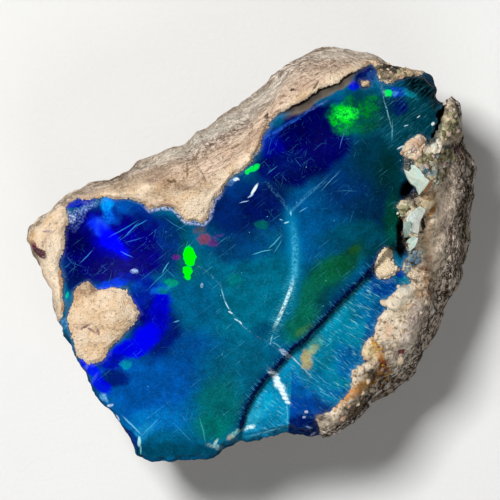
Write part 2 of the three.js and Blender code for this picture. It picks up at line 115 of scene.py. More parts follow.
BROW_PATCH: Path = [
    (17.5, 26.6), (18.2, 24.2), (19.6, 23.5), (21.6, 24.2), (23.9, 24.9), (24.2, 25.8),
]

# lines across the face; the side that each calls its left is on the left hand as the line runs
STEP_LINE: Path = [
    (17.9, -1.3), (15.6, -3.8), (12.8, -6.6), (10, -9.7), (7.9, -11.9), (5.8, -13.6), (3.7, -16),
    (1.9, -17.8), (0.5, -19.9), (-0.5, -22), (-1.2, -24.4),
]
CREST_LINE: Path = [
    (5.8, 5.6), (6.4, 2.5), (6.5, -0.3), (6.4, -3.1), (5.8, -5.2), (5, -7.3), (4.1, -9.4), (3.2, -11.1),
    (3, -12.4),
]
CREST_ARMS: list[Path] = [
    [(5.8, 5.6), (7.2, 7.1), (8.6, 8.5), (10.7, 9.9)],
    [(5.8, 5.6), (4.4, 7.6), (2.7, 9.5)],
]
CRACK_LINE: Path = [
    (-7.9, -1.3), (-5.7, -2.7), (-3.9, -4.5), (-3.2, -6.9), (-2.3, -8.4), (-0.9, -10.1), (0.9, -11.5),
    (2.9, -12.5), (4.4, -13.8), (5.8, -15.2), (7.2, -16.8), (9, -18.2), (10.9, -19.6), (12.3, -20.5),
]
WEDGE_EDGE: Path = [(5.8, -14.2), (6, -17.8), (5.8, -20.6), (5.4, -26.5)]
FOLD_LINE: Path = [(17.3, 28), (18.4, 22.8), (20, 17.9), (21.4, 12)]
# below this line the rind is freshly cut; above it, the natural skin
SKIN_LINE: Path = [
    (-26.5, 9.6), (-17.9, 10.3), (-15.2, 10.2), (-12.4, 9.3), (-9.6, 8.5), (-6.8, 9.3), (-3.7, 11.3),
    (-0.9, 13.3), (1.3, 15.5), (2.7, 18), (6, 21.2), (10.5, 23.9), (14.5, 26.2), (19, 28),
]
# the west end of the coarse rind, as y and x
COARSE_LINE: Path = [
    (-30, 6), (-20, 10), (-12, 13.5), (-7, 17.5), (-4, 21.6), (0, 21.8), (5, 20), (15, 20), (24, 26),
]
# clumps of crumbs in the coarse rind
PINK_CLUMP: Path = [
    (21.5, 14), (21.9, 13.5), (22.9, 14.1), (23.2, 13.1), (23.9, 13.4), (24, 14.4), (24.5, 14.8),
    (24.1, 15.5), (24.3, 16), (23.6, 15.8), (22.9, 15.2), (21.8, 14.3),
]
PALE_CLUMP: Path = [
    (25.5, 14.3), (25.8, 14.8), (26.3, 15.3), (26.7, 15.3), (26.8, 14.7), (26.4, 14.2), (25.8, 13.9),
]
SPIKE_CLUMP: Path = [
    (27, 16.6), (27.7, 18.3), (28.1, 19.6), (27.9, 20.8), (28.5, 21), (28.9, 19.4), (29.5, 18),
    (29.9, 16.6), (29.5, 15.5), (28.1, 15.5), (27.1, 15.8),
]
LEFT_CLUMP: Path = [
    (20.7, 5.7), (21.2, 6.8), (22.1, 7.1), (22.9, 6.7), (22.5, 6), (21.8, 5.4), (20.9, 5.1),
]
OLIVE_CLUMP: Path = [
    (24.2, 14.1), (25.4, 13.7), (27, 14.1), (28.2, 15.1), (28.9, 14.4), (28.5, 12.7), (27.7, 11.6),
    (27.4, 9.9), (25.8, 9.3), (25.4, 10.5), (24.6, 11.9), (23.3, 13),
]
BLUE_CLUMP: Path = [(22.3, 0.1), (23.9, 0.4), (24, -0.9), (23.2, -2.1), (21.9, -2.7), (21.8, -1.3)]
LOW_CLUMP: Path = [
    (21.5, -2.7), (24, -1.3), (25.4, -1.3), (25.7, -6.6), (24, -10.8), (20.9, -15.3), (18.1, -12.9),
    (19.3, -9.1), (17.9, -7.2), (20.1, -5.5), (20.7, -3.8),
]
TAIL_CLUMP: Path = [
    (17.3, -12.9), (19, -15), (17.3, -19.5), (13.5, -22.9), (10.3, -25.1), (10.9, -23.1), (14.5, -19.5),
    (16.2, -16.7), (15.9, -13.9),
]
GOLD_CLUMP: Path = [
    (17.2, -12.4), (18.1, -12.4), (19.3, -14.7), (20.1, -16.4), (19.5, -18.4), (18.1, -18.9),
    (19, -16.7), (18, -14.7),
]
FLAKE_OUTLINES: list[Path] = [
    [
        (21.6, 11.6), (22, 12.1), (22.5, 12.3), (23.3, 12.1), (23.6, 11.7), (24, 11.3),
        (24.6, 10.5), (25.3, 10), (25, 9.6), (24.7, 9.2), (24.1, 8.4), (23.7, 7.9), (23.5, 8.5),
        (23.3, 9.1), (22.6, 9.6), (22, 10.5),
    ],
    [(24.1, 7.1), (24.8, 7.4), (25.8, 7), (25.3, 6.1), (24.7, 6), (23.9, 6.7)],
    [
        (22.5, 5.6), (23.9, 6.5), (24.8, 6.1), (24.4, 5.4), (23.9, 4.2), (23.7, 2.9), (23.6, 2.5),
        (23, 2.8), (22.5, 3.2), (22, 4.2), (22, 4.9),
    ],
    [(21.6, 4.2), (22.5, 4.4), (22.7, 3.2), (22.6, 2.2), (21.8, 2.1), (21.5, 3.2)],
    [(22, 1.4), (22.3, 1.9), (23, 2.3), (23.6, 2.1), (23.2, 0.9), (22.5, 0.1), (22, 0.5)],
]


# ---------- measures in the plane and lumps in space ----------


def smooth(value: Array, low: float | Array, high: float | Array) -> Array:
    """The smooth step from 0 at low to 1 at high."""
    share = np.clip((value - low) / (high - low), 0, 1)
    return share * share * (3 - 2 * share)


def mixed(low: float | Array, high: float | Array, share: float | Array) -> Array:
    """Low where share is 0 and high where it is 1."""
    return low + (high - low) * share


def spun(turn: Array, out: Array) -> tuple[Array, Array]:
    """Places at distances from the middle, at turns in degrees."""
    a = np.radians(turn)
    return np.cos(a) * out, np.sin(a) * out


def from_path(x: Array, y: Array, path: Path) -> tuple[Array, Array]:
    """Measures points against an open path: each is dropped square onto every leg, and the nearest counts.

    Args:
        x: across, in mm.
        y: up the face, in mm.
        path: the corners of the path.

    Returns:
        The distance, positive on the path's left hand, and how far the point lies past the path's ends.
    """
    corners = np.array(path, dtype=float)
    start, leg = corners[:-1], np.diff(corners, axis=0)
    long = np.hypot(leg[:, 0], leg[:, 1])
    dx, dy = x[..., None] - start[:, 0], y[..., None] - start[:, 1]
    along = (dx * leg[:, 0] + dy * leg[:, 1]) / long
    held = np.clip(along, 0, long)
    away = np.hypot(dx - held * leg[:, 0] / long, dy - held * leg[:, 1] / long)
    side = np.where(leg[:, 0] * dy - leg[:, 1] * dx < 0, -1.0, 1.0)
    nearest = away.argmin(axis=-1)[..., None]
    signed = np.take_along_axis(away * side, nearest, -1)[..., 0]
    first = np.where(nearest[..., 0] == 0, np.maximum(0, -along[..., 0]), 0)
    last = np.where(nearest[..., 0] == len(leg) - 1, np.maximum(0, along[..., -1] - long[-1]), 0)
    return signed, first + last


def depth_inside(x: Array, y: Array, outline: Path) -> Array:
    """The distance to a closed outline, positive inside, where legs are crossed an odd number of times."""
    corners = np.array(outline, dtype=float)
    after = np.roll(corners, -1, axis=0)
    px, py = x[..., None], y[..., None]
    straddles = (corners[:, 1] > py) != (after[:, 1] > py)
    rise = np.where(after[:, 1] == corners[:, 1], 1e-9, after[:, 1] - corners[:, 1])
    crossing = corners[:, 0] + (py - corners[:, 1]) * (after[:, 0] - corners[:, 0]) / rise
    inside = (straddles & (px < crossing)).sum(axis=-1) % 2 == 1
    away = np.abs(from_path(x, y, outline + outline[:1])[0])
    return np.where(inside, away, -away)


def shaken(x: Array, y: Array, octaves: Sequence[Pair], seeds: Pair) -> tuple[Array, Array]:
    """Places in the plane, moved each way by lumps that are read at that way's own seed."""
    flat = np.stack([x, y, np.zeros_like(x)], axis=-1)
    return x + lumps(flat + seeds[0], octaves), y + lumps(flat + seeds[1], octaves)


def lump(x: Array, y: Array, z: Array) -> Array:
    """Smooth lumps from -1 to 1, one lattice cell to a unit: hashed corners blended by a quintic step."""
    cell = [np.floor(c) for c in (x, y, z)]
    part = [c - f for c, f in zip((x, y, z), cell)]
    ease = [t * t * t * (t * (t * 6 - 15) + 10) for t in part]
    total = np.zeros(np.broadcast(x, y, z).shape)
    for corner in np.ndindex(2, 2, 2):
        share = np.prod([e if c else 1 - e for c, e in zip(corner, ease)], axis=0)
        i, j, k = (f + c for f, c in zip(cell, corner))
        wave = np.sin(i * 127.1 + j * 311.7 + k * 74.7) * SCRAMBLE
        total += share * (wave - np.floor(wave))
    return 2 * total - 1


def lumps(place: Array, octaves: Sequence[Pair]) -> Array:
    """The sum of lumps over octaves of (size, height), at places in the last axis."""
    return sum(tall * lump(*(place[..., axis] / size for axis in range(3))) for size, tall in octaves)


def granules(place: Array) -> Array:
    """Domed grains, one to a unit cell: 1 at a grain's hashed middle and 0 where it meets its neighbours."""
    cell = np.floor(place)
    stir = np.array([[127.1, 269.5, 113.5], [311.7, 183.3, 271.9], [74.7, 246.1, 124.6]])
    nearest = np.full(place.shape[:-1], 9.0)
    for offset in np.ndindex(3, 3, 3):
        corner = cell + offset - 1
        wave = np.sin(corner @ stir) * SCRAMBLE
        nearest = np.minimum(nearest, ((corner + wave - np.floor(wave) - place) ** 2).sum(axis=-1))
    return 1 - np.minimum(nearest, 1)


def stepped(count: int, ratio: float) -> Array:
    """Repeatable numbers from 0 to 1 that never bunch up: steps of a ratio from one half, wrapped."""
    return (0.5 + np.arange(count) * ratio) % 1


def hashed(count: int, seed: float) -> Array:
    """Repeatable numbers from 0 to 1 with no order to them."""
    wave = np.sin(np.arange(1, count + 1) * 12.9898 + seed * 78.233) * SCRAMBLE
    return wave - np.floor(wave)


def tint(code: str) -> tuple[float, float, float, float]:
    """A linear colour from six hexadecimal digits of display colour."""
    display = [int(code[k : k + 2], 16) / 255 for k in (0, 2, 4)]
    linear = [c / 12.92 if c <= 0.04045 else ((c + 0.055) / 1.055) ** 2.4 for c in display]
    return (linear[0], linear[1], linear[2], 1.0)


def closed_mesh(
    name: str, points: Array, quads: Array, triangles: Array, smooth_faces: bool = True
) -> bpy.types.Object:
    """Makes an object from points in millimetres of the part's frame.

    Args:
        name: the piece's name.
        points: n by 3.
        quads: m by 4 corner numbers, anticlockwise seen from outside.
        triangles: k by 3 corner numbers, anticlockwise seen from outside.
        smooth_faces: whether light runs smoothly over the faces.

    Returns:
        The object, at the origin.
    """
    loops = np.concatenate([quads.ravel(), triangles.ravel()]).astype(np.int32)
    sizes = np.concatenate([np.full(len(quads), 4), np.full(len(triangles), 3)]).astype(np.int32)
    mesh = bpy.data.meshes.new(name)
    mesh.vertices.add(len(points))
    mesh.vertices.foreach_set("co", (points * MM).astype(np.float32).ravel())
    mesh.loops.add(len(loops))
    mesh.loops.foreach_set("vertex_index", loops)
    mesh.polygons.add(len(sizes))
    mesh.polygons.foreach_set("loop_start", np.concatenate([[0], np.cumsum(sizes)[:-1]]).astype(np.int32))
    mesh.polygons.foreach_set("use_smooth", np.full(len(sizes), smooth_faces))
    mesh.update(calc_edges=True)
    mesh.validate()
    return put(name, mesh)


def put(name: str, data: bpy.types.ID) -> bpy.types.Object:
    """Adds an object to the scene."""
    thing = bpy.data.objects.new(name, data)
    bpy.context.scene.collection.objects.link(thing)
    return thing


def keep_values(piece: bpy.types.Object, name: str, values: Array) -> None:
    """Stores one number for each point of the piece under a name that its finish reads."""
    attribute = piece.data.attributes.new(name, "FLOAT", "POINT")
    attribute.data.foreach_set("value", values.astype(np.float32))


def ring_quads(upper: Array, lower: Array) -> Array:
    """Quads between closed rows of corner numbers, anticlockwise seen from outside."""
    return np.stack([upper, lower, np.roll(lower, -1, 1), np.roll(upper, -1, 1)], -1).reshape(-1, 4)


def outward_normals(points: Array, quads: Array, triangles: Array) -> Array:
    """The unit normal at each point: the sum of its faces' area vectors, from their diagonals or edges."""
    a, b, c, d = (points[quads[:, corner]] for corner in range(4))
    e, f, g = (points[triangles[:, corner]] for corner in range(3))
    total = np.zeros_like(points)
    for faces, area in ((quads, np.cross(c - a, d - b)), (triangles, np.cross(f - e, g - e))):
        for corner in range(faces.shape[1]):
            for axis in range(3):
                total[:, axis] += np.bincount(faces[:, corner], area[:, axis], len(points))
    return total / np.maximum(np.linalg.norm(total, axis=1, keepdims=True), 1e-12)


# ---------- the face and the flanks ----------


@dataclass(frozen=True)
class Scoop:
    """A shell-shaped hollow: its centre, reach along and across, turn in degrees and depth, in mm."""

    x: float
    y: float
    along: float
    across: float
    turn: float
    depth: float

    def reach(self, x: Array, y: Array) -> Array:
        """The distance from the centre in units of the hollow's own oval."""
        a = math.radians(self.turn)
        u = ((x - self.x) * math.cos(a) + (y - self.y) * math.sin(a)) / self.along
        v = ((y - self.y) * math.cos(a) - (x - self.x) * math.sin(a)) / self.across
        return np.hypot(u, v)


@dataclass
class OpalFace:
    """The broken face: three fractures under a crown, with hollows, a step, a wedge, a fold and the rind."""

    crown: Triple = (5.8, 5.6, 27.2)
    fractures: tuple[Pair, ...] = ((0.08, 0.13), (-0.25, 0.12), (-0.127, -0.018))
    fracture_blend: float = 0.12
    scoops: tuple[Scoop, ...] = (
        Scoop(-18.7, 1.1, 7, 5, 10, 1.3),
        Scoop(-6, -13, 12, 8, 35, 1.1),
        Scoop(13, 2, 8, 4.5, 70, 0.7),
        Scoop(7, 16, 7, 4, 40, 0.9),
        Scoop(-3, 3, 6, 4, 60, 0.7),
    )
    step_drop: float = 1.6
    step_width: float = 0.36
    step_lift: float = 0.12
    step_lift_reach: float = 9
    step_fade: float = 4
    wedge_fall: float = 0.28
    fold_fall: float = 0.24
    fold_reach: float = 8
    toe: Triple = (-26.6, -15.5, -4.5)
    toe_fall: float = 0.7
    crack_depth: float = 0.06
    crack_width: float = 0.2
    crest_rise: float = 0.02
    crest_width: float = 0.5
    rind_rise: float = 0.6
    brow_rise: float = 2
    brow: Triple = (9.5, 24, 7)
    under_brow: Pair = (0.25, 0.7)
    coarse_fade: float = 0.8
    bevel: float = 1.2
    bank: float = 0.55
    right_rise: float = 1.3
    right_from: float = 18
    right_to: float = 23
    voids: tuple[Scoop, ...] = (
        Scoop(22.1, 8.9, 1.5, 0.8, 80, 3),
        Scoop(21.6, 2.7, 3, 0.75, 88, 3.2),
        Scoop(24.3, 4.0, 1.5, 0.3, 80, 2.2),
        Scoop(27, 18.3, 2.8, 0.6, 72, 3.4),
    )
    ragged: tuple[Pair, ...] = ((1.5, 0.26), (0.55, 0.13))
    ragged_seeds: Pair = (11.3, 47.9)
    void_ragged: tuple[Pair, ...] = ((1.1, 0.35), (0.5, 0.16))
    void_seeds: Pair = (5.9, 31.3)
    void_wall: Pair = (-1.15, -0.75)

    def brow_share(self, x: Array, y: Array) -> Array:
        """1 under the overhanging brow at the top of the window, falling off as a bell."""
        cx, cy, reach = self.brow
        return np.exp(-(((x - cx) / reach) ** 2) - ((y - cy) / reach) ** 2)

    def right_share(self, x: Array) -> Array:
        """1 in the coarse rind on the right."""
        return smooth(x, self.right_from, self.right_to)

    def coarse_share(self, x: Array, y: Array) -> Array:
        """1 where the rind is coarse and crumbly, east of a line that climbs the right side."""
        line_y, line_x = np.array(COARSE_LINE).T
        return smooth(x - np.interp(y, line_y, line_x), -self.coarse_fade, self.coarse_fade)

    def rind_depth(self, x: Array, y: Array) -> Array:
        """How deep a point lies in rind, in mm, negative over bare opal, along a ragged contact."""
        rx, ry = shaken(x, y, self.ragged, self.ragged_seeds)
        patches = [depth_inside(rx, ry, patch) for patch in (ISLAND, ISLET, CRUMB_SPOT, BROW_PATCH)]
        return np.maximum.reduce([-depth_inside(rx, ry, WINDOW), *patches])

    def bare_height(self, x: Array, y: Array) -> Array:
        """The broken opal: the soft minimum of three planes, less hollows, step, wedge, fold and crack."""
        planes = [gx * (x - self.crown[0]) + gy * (y - self.crown[1]) for gx, gy in self.fractures]
        spread = sum(np.exp(-plane / self.fracture_blend) for plane in planes)
        z = self.crown[2] - self.fracture_blend * np.log(spread)
        for scoop in self.scoops:
            z = z - scoop.depth * np.exp(-(scoop.reach(x, y) ** 2))

        away, past = from_path(x, y, STEP_LINE)
        low = away * (1 - smooth(past, 0, self.step_fade))
        z = z - self.step_drop * smooth(low, 0, self.step_width)
        z = z + self.step_lift * np.clip(low, 0, self.step_lift_reach)

        z = z - self.wedge_fall * np.maximum(0, self.wedge_depth(x, y))
        z = z - self.fold_fall * np.clip(from_path(x, y, FOLD_LINE)[0], 0, self.fold_reach)
        toe_y, toe_from, toe_to = self.toe
        in_toe = (x > toe_from) & (x < toe_to)
        z = z - np.where(in_toe, self.toe_fall * np.maximum(0, toe_y - y), 0)

        crack = from_path(x, y, CRACK_LINE)[0]
        z = z - self.crack_depth * np.exp(-((crack / self.crack_width) ** 2))
        crest = from_path(x, y, CREST_LINE)[0]
        return z + self.crest_rise * np.exp(-((crest / self.crest_width) ** 2))

    def wedge_depth(self, x: Array, y: Array) -> Array:
        """How far a point lies inside the wedge that fell away below the crack, in mm."""
        return np.minimum(from_path(x, y, WEDGE_EDGE)[0], -from_path(x, y, CRACK_LINE)[0])

    def height(self, x: Array, y: Array) -> Array:
        """The face with its rind, which climbs to its full rise up a short bank, and the voids in it."""
        brow, right = self.brow_share(x, y), self.right_share(x)
        rise = mixed(mixed(self.rind_rise, self.brow_rise, brow), self.right_rise, right * (1 - brow))
        depth = self.rind_depth(x, y)
        start = -self.bevel * smooth(brow, *self.under_brow)
        bank = smooth(depth, start, self.bank)
        z = self.bare_height(x, y) + bank * rise
        rx, ry = shaken(x, y, self.void_ragged, self.void_seeds)
        for void in self.voids:
            z = z - void.depth * smooth(-void.reach(rx, ry), *self.void_wall)
        return z


@dataclass(frozen=True)
class Station:
    """The flank at one turn round the stone, in degrees from +X.

    The shoulder is its rounded width, the waist the height of its widest line, the square how square the
    belly is, where 2 is round, and broken the share that is bare break.
    """

    turn: float
    shoulder: float
    waist: float
    square: float
    broken: float = 0


@dataclass
class Flanks:
    """Everything beyond the face's border: shoulder, widest line, belly and foot."""

    face: OpalFace
    stations: tuple[Station, ...] = (
        Station(0, 7.6, 11.5, 2.1), Station(20, 6.6, 12, 2.1), Station(36, 3.4, 14, 2.2),
        Station(42, 1.6, 17.5, 2.4), Station(51, 3.2, 16.5, 2.3), Station(64, 8, 14, 2.2),
        Station(92, 8.4, 13, 2.2), Station(121, 7.4, 13, 2.2), Station(150, 4.4, 14, 2.2),
        Station(166, 2.6, 15, 2.2), Station(178, 2, 15.5, 2.3), Station(199, 1.4, 17, 2.6),
        Station(207, 0.8, 20.5, 3.2, 1), Station(238, 0.8, 20.5, 3.4, 1), Station(262, 1.2, 19.5, 3.2, 1),
        Station(286, 1.4, 18.5, 2.8, 1), Station(294, 3.4, 14.5, 2.3), Station(317, 6.2, 12, 2.1),
        Station(338, 7.2, 11.5, 2.1),
    )
    lip: float = 0.9
    ease_spread: float = 14
    ease_depth: float = 0.5
    foot_middle: Pair = (1, -3)
    foot_radius: float = 11.5
    foot_oval: float = 1.6
    foot_corner: float = 0.9

    def along(self, turn: Array, name: str) -> Array:
        """One measure of the stations, run straight from each station to the next."""
        turns = [station.turn for station in self.stations]
        return np.interp(turn, turns, [getattr(station, name) for station in self.stations], period=360)

    @staticmethod
    def rim(turn: Array) -> Array:
        """The outline's distance from the middle at each turn."""
        corners = np.array(OUTLINE, dtype=float)
        turns = np.degrees(np.arctan2(corners[:, 1], corners[:, 0])) % 360
        return np.interp(turn, turns, np.hypot(corners[:, 0], corners[:, 1]), period=360)

    def waist(self, turn: Array) -> Array:
        """The height of the widest line, held a lip below the face's border."""
        face = self.face.height(*spun(turn, self.rim(turn) - self.along(turn, "shoulder")))
        return np.minimum(self.along(turn, "waist"), face - self.lip)

    def shoulder_points(self, turn: Array, share: Array) -> Array:
        """A quarter oval at each turn, from the face's border (share 0) to the widest line (share 1)."""
        quarter = share * math.pi / 2
        out = self.rim(turn) - self.along(turn, "shoulder") * (1 - np.sin(quarter))
        x, y = spun(turn, out)
        waist = self.waist(turn)
        return np.stack([x, y, mixed(waist, self.face.height(x, y), np.cos(quarter))], axis=-1)

    def belly_points(self, turn: Array, share: Array) -> Array:
        """A quarter superellipse at each turn, from the widest line (share 0) in to the foot (share 1).

        The outline's nicks ease out on the way down.
        """
        a, quarter, square = np.radians(turn), share * math.pi / 2, self.along(turn, "square")
        out, down = np.cos(quarter) ** (2 / square), np.sin(quarter) ** (2 / square)
        offsets = np.linspace(-1, 1, 5) * self.ease_spread
        eased = np.mean([self.rim(turn + offset) for offset in offsets], axis=0)
        wide = mixed(self.rim(turn), eased, smooth(share, 0, self.ease_depth))
        foot = self.foot_radius + self.foot_oval * np.cos(2 * a + 0.6) + self.foot_corner * np.cos(3 * a - 1)
        x = mixed(self.foot_middle[0] + foot * np.cos(a), np.cos(a) * wide, out)
        y = mixed(self.foot_middle[1] + foot * np.sin(a), np.sin(a) * wide, out)
        return np.stack([x, y, self.waist(turn) * (1 - down)], axis=-1)


# ---------- the stone ----------


@dataclass
class Stone:
    """The whole stone as one closed surface."""

    face: OpalFace = field(default_factory=OpalFace)
    face_cells: int = 200
    shoulder_rows: int = 26
    belly_rows: int = 44
    skin_lumps: tuple[Pair, ...] = ((8.5, 1.1), (3.6, 0.5))
    skin_grain: tuple[Pair, ...] = ((1.7, 0.13), (0.85, 0.08))
    coarse_lumps: tuple[Pair, ...] = ((4.2, 1.0),)
    coarse_grain: tuple[Pair, ...] = ((1.9, 0.3), (0.9, 0.14))
    granules: tuple[Pair, ...] = ((1.25, 0.42), (0.75, 0.2))
    bark: tuple[Triple, ...] = ((4.2, 1.1, 0.62), (2.2, 0.6, 0.4), (1.2, 0.36, 0.16))
    bark_reach: float = 28
    lumps_start: float = 3
    grain_start: float = 0.5
    opal_calm: float = 0.08
    side_lean: Pair = (-0.5, 0.2)
    flank_way: Pair = (0.3, 0.9)
    flank_crumbs: float = 0.45
    skin_bark: float = 0.35
    edge_way: tuple[Pair, Pair] = ((0.05, 0.3), (0.8, 1.2))
    top_way: Pair = (1.3, 0.8)
    outer_way: Pair = (0.2, 0.8)
    skin_fade: Pair = (-0.4, 0.5)
    foot_calm: float = 3.5
    break_floor: Pair = (6.5, 9.5)
    chipped: tuple[Pair, ...] = ((1.2, 0.3), (0.5, 0.14))
    wall_scoops: tuple[tuple[float, ...], ...] = (
        (-25.5, -13, 13.5, 6.5, 1.9),
        (-19.5, -22, 11.5, 7.5, 2.3),
        (-9, -29, 12.5, 6.5, 1.8),
        (3, -25.5, 13, 6.5, 1.7),
    )
    skin_pits: tuple[Triple, ...] = (
        (-10.7, 9.9, 0.55), (-8.6, 11.3, 0.4), (-8.7, 10.2, 0.35), (-6.2, 15.4, 0.35), (-5, 15.2, 0.3),
        (6, 22.8, 0.3), (-13.5, 10, 0.3), (2.7, 18.9, 0.45), (9.3, 23.2, 0.35), (-22.9, -10.4, 0.45),
        (-21.9, -11.2, 0.5), (-20.6, -10.8, 0.4), (-20.1, -7, 0.35), (-18.9, -8.2, 0.3),
    )
    pit_depth: float = 1.1
    pit_floor: float = 12
    floor_wave: tuple[Pair, ...] = ((5.0, 1.6), (1.6, 0.5))
    shift: Triple = (0, 0, 0)

    def __post_init__(self) -> None:
        """Hangs the flanks on the face."""
        self.flanks = Flanks(self.face)

    def disc(self) -> tuple[Array, Array]:
        """The turn and the share of the reach of each point of a square grid drawn out to a disc.

        Each square of the grid becomes a ring, and each of its sides a quarter turn.
        """
        steps = np.linspace(-1, 1, self.face_cells + 1)
        a, b = np.meshgrid(steps, steps, indexing="ij")
        wide = np.abs(a) >= np.abs(b)
        share = np.where(wide, np.abs(a), np.abs(b))
        side = np.where(share == 0, 1, np.where(wide, a, b))
        ratio = np.where(wide, b, -a) / side
        start = np.where(wide, np.where(a >= 0, 0, 180), np.where(b > 0, 90, 270))
        return (start + 45 * ratio) % 360, share

    def grids(self) -> tuple[Array, Array, Array, Array, Array]:
        """Lays out the undisplaced surface.

        Returns:
            Its points, the turn and the way down the flank (0 on the face, 1 at the widest line, 2 at the
            foot) of each point, its quads and its triangles.
        """
        n = self.face_cells
        turn, share = self.disc()
        out = share * (self.flanks.rim(turn) - self.flanks.along(turn, "shoulder"))
        x, y = spun(turn, out)
        face = np.stack([x, y, self.face.height(x, y)], axis=-1).reshape(-1, 3)
        numbers = np.arange((n + 1) ** 2).reshape(n + 1, n + 1)
        face_quads = np.stack([numbers[:-1, :-1], numbers[1:, :-1], numbers[1:, 1:], numbers[:-1, 1:]], -1)

        # the face's border, anticlockwise seen from above
        border = np.concatenate([numbers[:-1, 0], numbers[-1, :-1], numbers[:0:-1, -1], numbers[0, :0:-1]])
        around = turn.ravel()[border]
        down_shoulder = np.arange(1, self.shoulder_rows + 1)[:, None] / self.shoulder_rows
        down_belly = np.arange(1, self.belly_rows + 1)[:, None] / self.belly_rows
        rows = np.concatenate([
            self.flanks.shoulder_points(around[None, :], down_shoulder),
            self.flanks.belly_points(around[None, :], down_belly),
        ])
        ring = len(border)
        row_numbers = len(face) + np.arange(len(rows) * ring).reshape(len(rows), ring)
        above = np.concatenate([border[None, :], row_numbers[:-1]])
        middle = np.array([[*self.flanks.foot_middle, 0.0]])
        points = np.concatenate([face, rows.reshape(-1, 3), middle])
        last = row_numbers[-1]
        fan = np.stack([np.roll(last, -1), last, np.full(ring, len(points) - 1)], -1)
        down = np.concatenate([down_shoulder, 1 + down_belly]).repeat(ring)
        turns = np.concatenate([turn.ravel(), np.tile(around, len(rows)), [0.0]])
        ways = np.concatenate([np.zeros(len(face)), down, [2.0]])
        quads = np.concatenate([face_quads.reshape(-1, 4), ring_quads(above, row_numbers)])
        return points, turns, ways, quads, fan

    def rind_values(self, points: Array, turns: Array, ways: Array) -> Array:
        """How deep each point lies in rind, in mm.

        The face and the shoulder follow the window. Below the widest line the break is bare down to its
        floor, and all the rest is skin.
        """
        above = self.face.rind_depth(points[:, 0], points[:, 1])
        at_rim = self.face.rind_depth(*spun(turns, self.flanks.rim(turns)))
        floor = np.mean(self.break_floor) + lumps(points, self.floor_wave) - points[:, 2]
        below = np.maximum(at_rim, floor)
        return np.where(ways <= 1, np.maximum(above, floor), below)

    def relief(self, points: Array, outward: Array, turns: Array, ways: Array, rind: Array) -> Array:
        """How far each point is pushed out: skin by its lumps and grain, the break by its hollows."""
        broken = self.flanks.along(turns, "broken")
        side = smooth(-outward[:, 2], *self.side_lean)
        bare = side * broken * smooth(points[:, 2], *self.break_floor)
        skin = np.maximum.reduce([
            np.full(len(points), self.opal_calm), smooth(rind, 0, self.lumps_start), side * (1 - bare)
        ])
        right = self.face.right_share(points[:, 0])
        push = skin * (lumps(points, self.skin_lumps) + right * lumps(points, self.coarse_lumps))

        grained = smooth(rind, 0, self.grain_start)
        coarse = self.face.coarse_share(points[:, 0], points[:, 1])
        push += grained * lumps(points, self.skin_grain) * (1 - coarse)
        crumbly = sum(
            tall * (1 - 2 * np.abs(lump(*(points / size + 5.1).T))) for size, tall in self.coarse_grain
        )
        crumbly += sum(tall * granules(points / size) for size, tall in self.granules)
        outer = smooth(ways, *self.flank_way)
        push += grained * coarse * crumbly * mixed(1, self.flank_crumbs, outer)
        push += outer * grained * mixed(self.skin_bark, 1, coarse) * self.bark_relief(points)
        starts, ends = self.edge_way
        edge = smooth(ways, *starts) * (1 - smooth(ways, *ends))
        push += edge * smooth(-rind, 0, self.grain_start) * lumps(points, self.chipped)

        for x, y, radius in self.skin_pits:
            away = np.hypot(points[:, 0] - x, points[:, 1] - y) / radius
            pitted = (ways < 1) & (points[:, 2] > self.pit_floor)
            push -= self.pit_depth * radius * np.exp(-(away**2)) * pitted
        for x, y, z, radius, depth in self.wall_scoops:
            away = np.linalg.norm(points - (x, y, z), axis=1) / radius
            push -= depth * np.maximum(0, 1 - away**2)
        return push * smooth(points[:, 2], 0, self.foot_calm)

    def bark_relief(self, points: Array) -> Array:
        """Ridges that run round the flank: lumps drawn out along the turn and thin across it.

        Their places are the unit direction from the middle and the height less the reach.
        """
        reach = np.maximum(np.hypot(points[:, 0], points[:, 1]), 1e-6)
        around = points[:, :2] / reach[:, None] * self.bark_reach
        across = points[:, 2] - reach
        return sum(
            tall * lump(around[:, 0] / long, around[:, 1] / long, across / wide)
            for long, wide, tall in self.bark
        )

    def build(self) -> bpy.types.Object:
        """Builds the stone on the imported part's own box and keeps the values that its finish reads."""
        points, turns, ways, quads, fan = self.grids()
        outward = outward_normals(points, quads, fan)
        rind = self.rind_values(points, turns, ways)
        x, y = points[:, 0].copy(), points[:, 1].copy()
        points = points + outward * self.relief(points, outward, turns, ways, rind)[:, None]

        low, high = (np.array(corner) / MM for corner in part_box(NODE))
        middle = (points.min(axis=0) + points.max(axis=0)) / 2
        target = (low + high) / 2
        self.shift = (target[0] - middle[0], target[1] - middle[1], low[2] - points[:, 2].min())
        piece = closed_mesh("stone", points + np.array(self.shift), quads, fan)

        on_top = smooth(ways, *self.top_way)
        away, past = from_path(x, y, STEP_LINE)
        crack = from_path(x, y, CRACK_LINE)[0]
        kept = {
            "rind": rind, "step": away * (1 - smooth(past, 0, self.face.step_fade)), "step_past": past,
            "crest": np.abs(from_path(x, y, CREST_LINE)[0]),
            "crest_arm": np.minimum.reduce([np.abs(from_path(x, y, arm)[0]) for arm in CREST_ARMS]),
            "crack": np.abs(crack), "wedge": from_path(x, y, WEDGE_EDGE)[0], "beyond_crack": -crack,
            "natural": mixed(1, smooth(from_path(x, y, SKIN_LINE)[0], *self.skin_fade), on_top),
            "brow": self.face.brow_share(x, y) * on_top, "coarse": self.face.coarse_share(x, y),
            "on_top": on_top, "outer": smooth(ways, *self.outer_way),
        }
        for name, values in kept.items():
            keep_values(piece, name, values)
        return piece


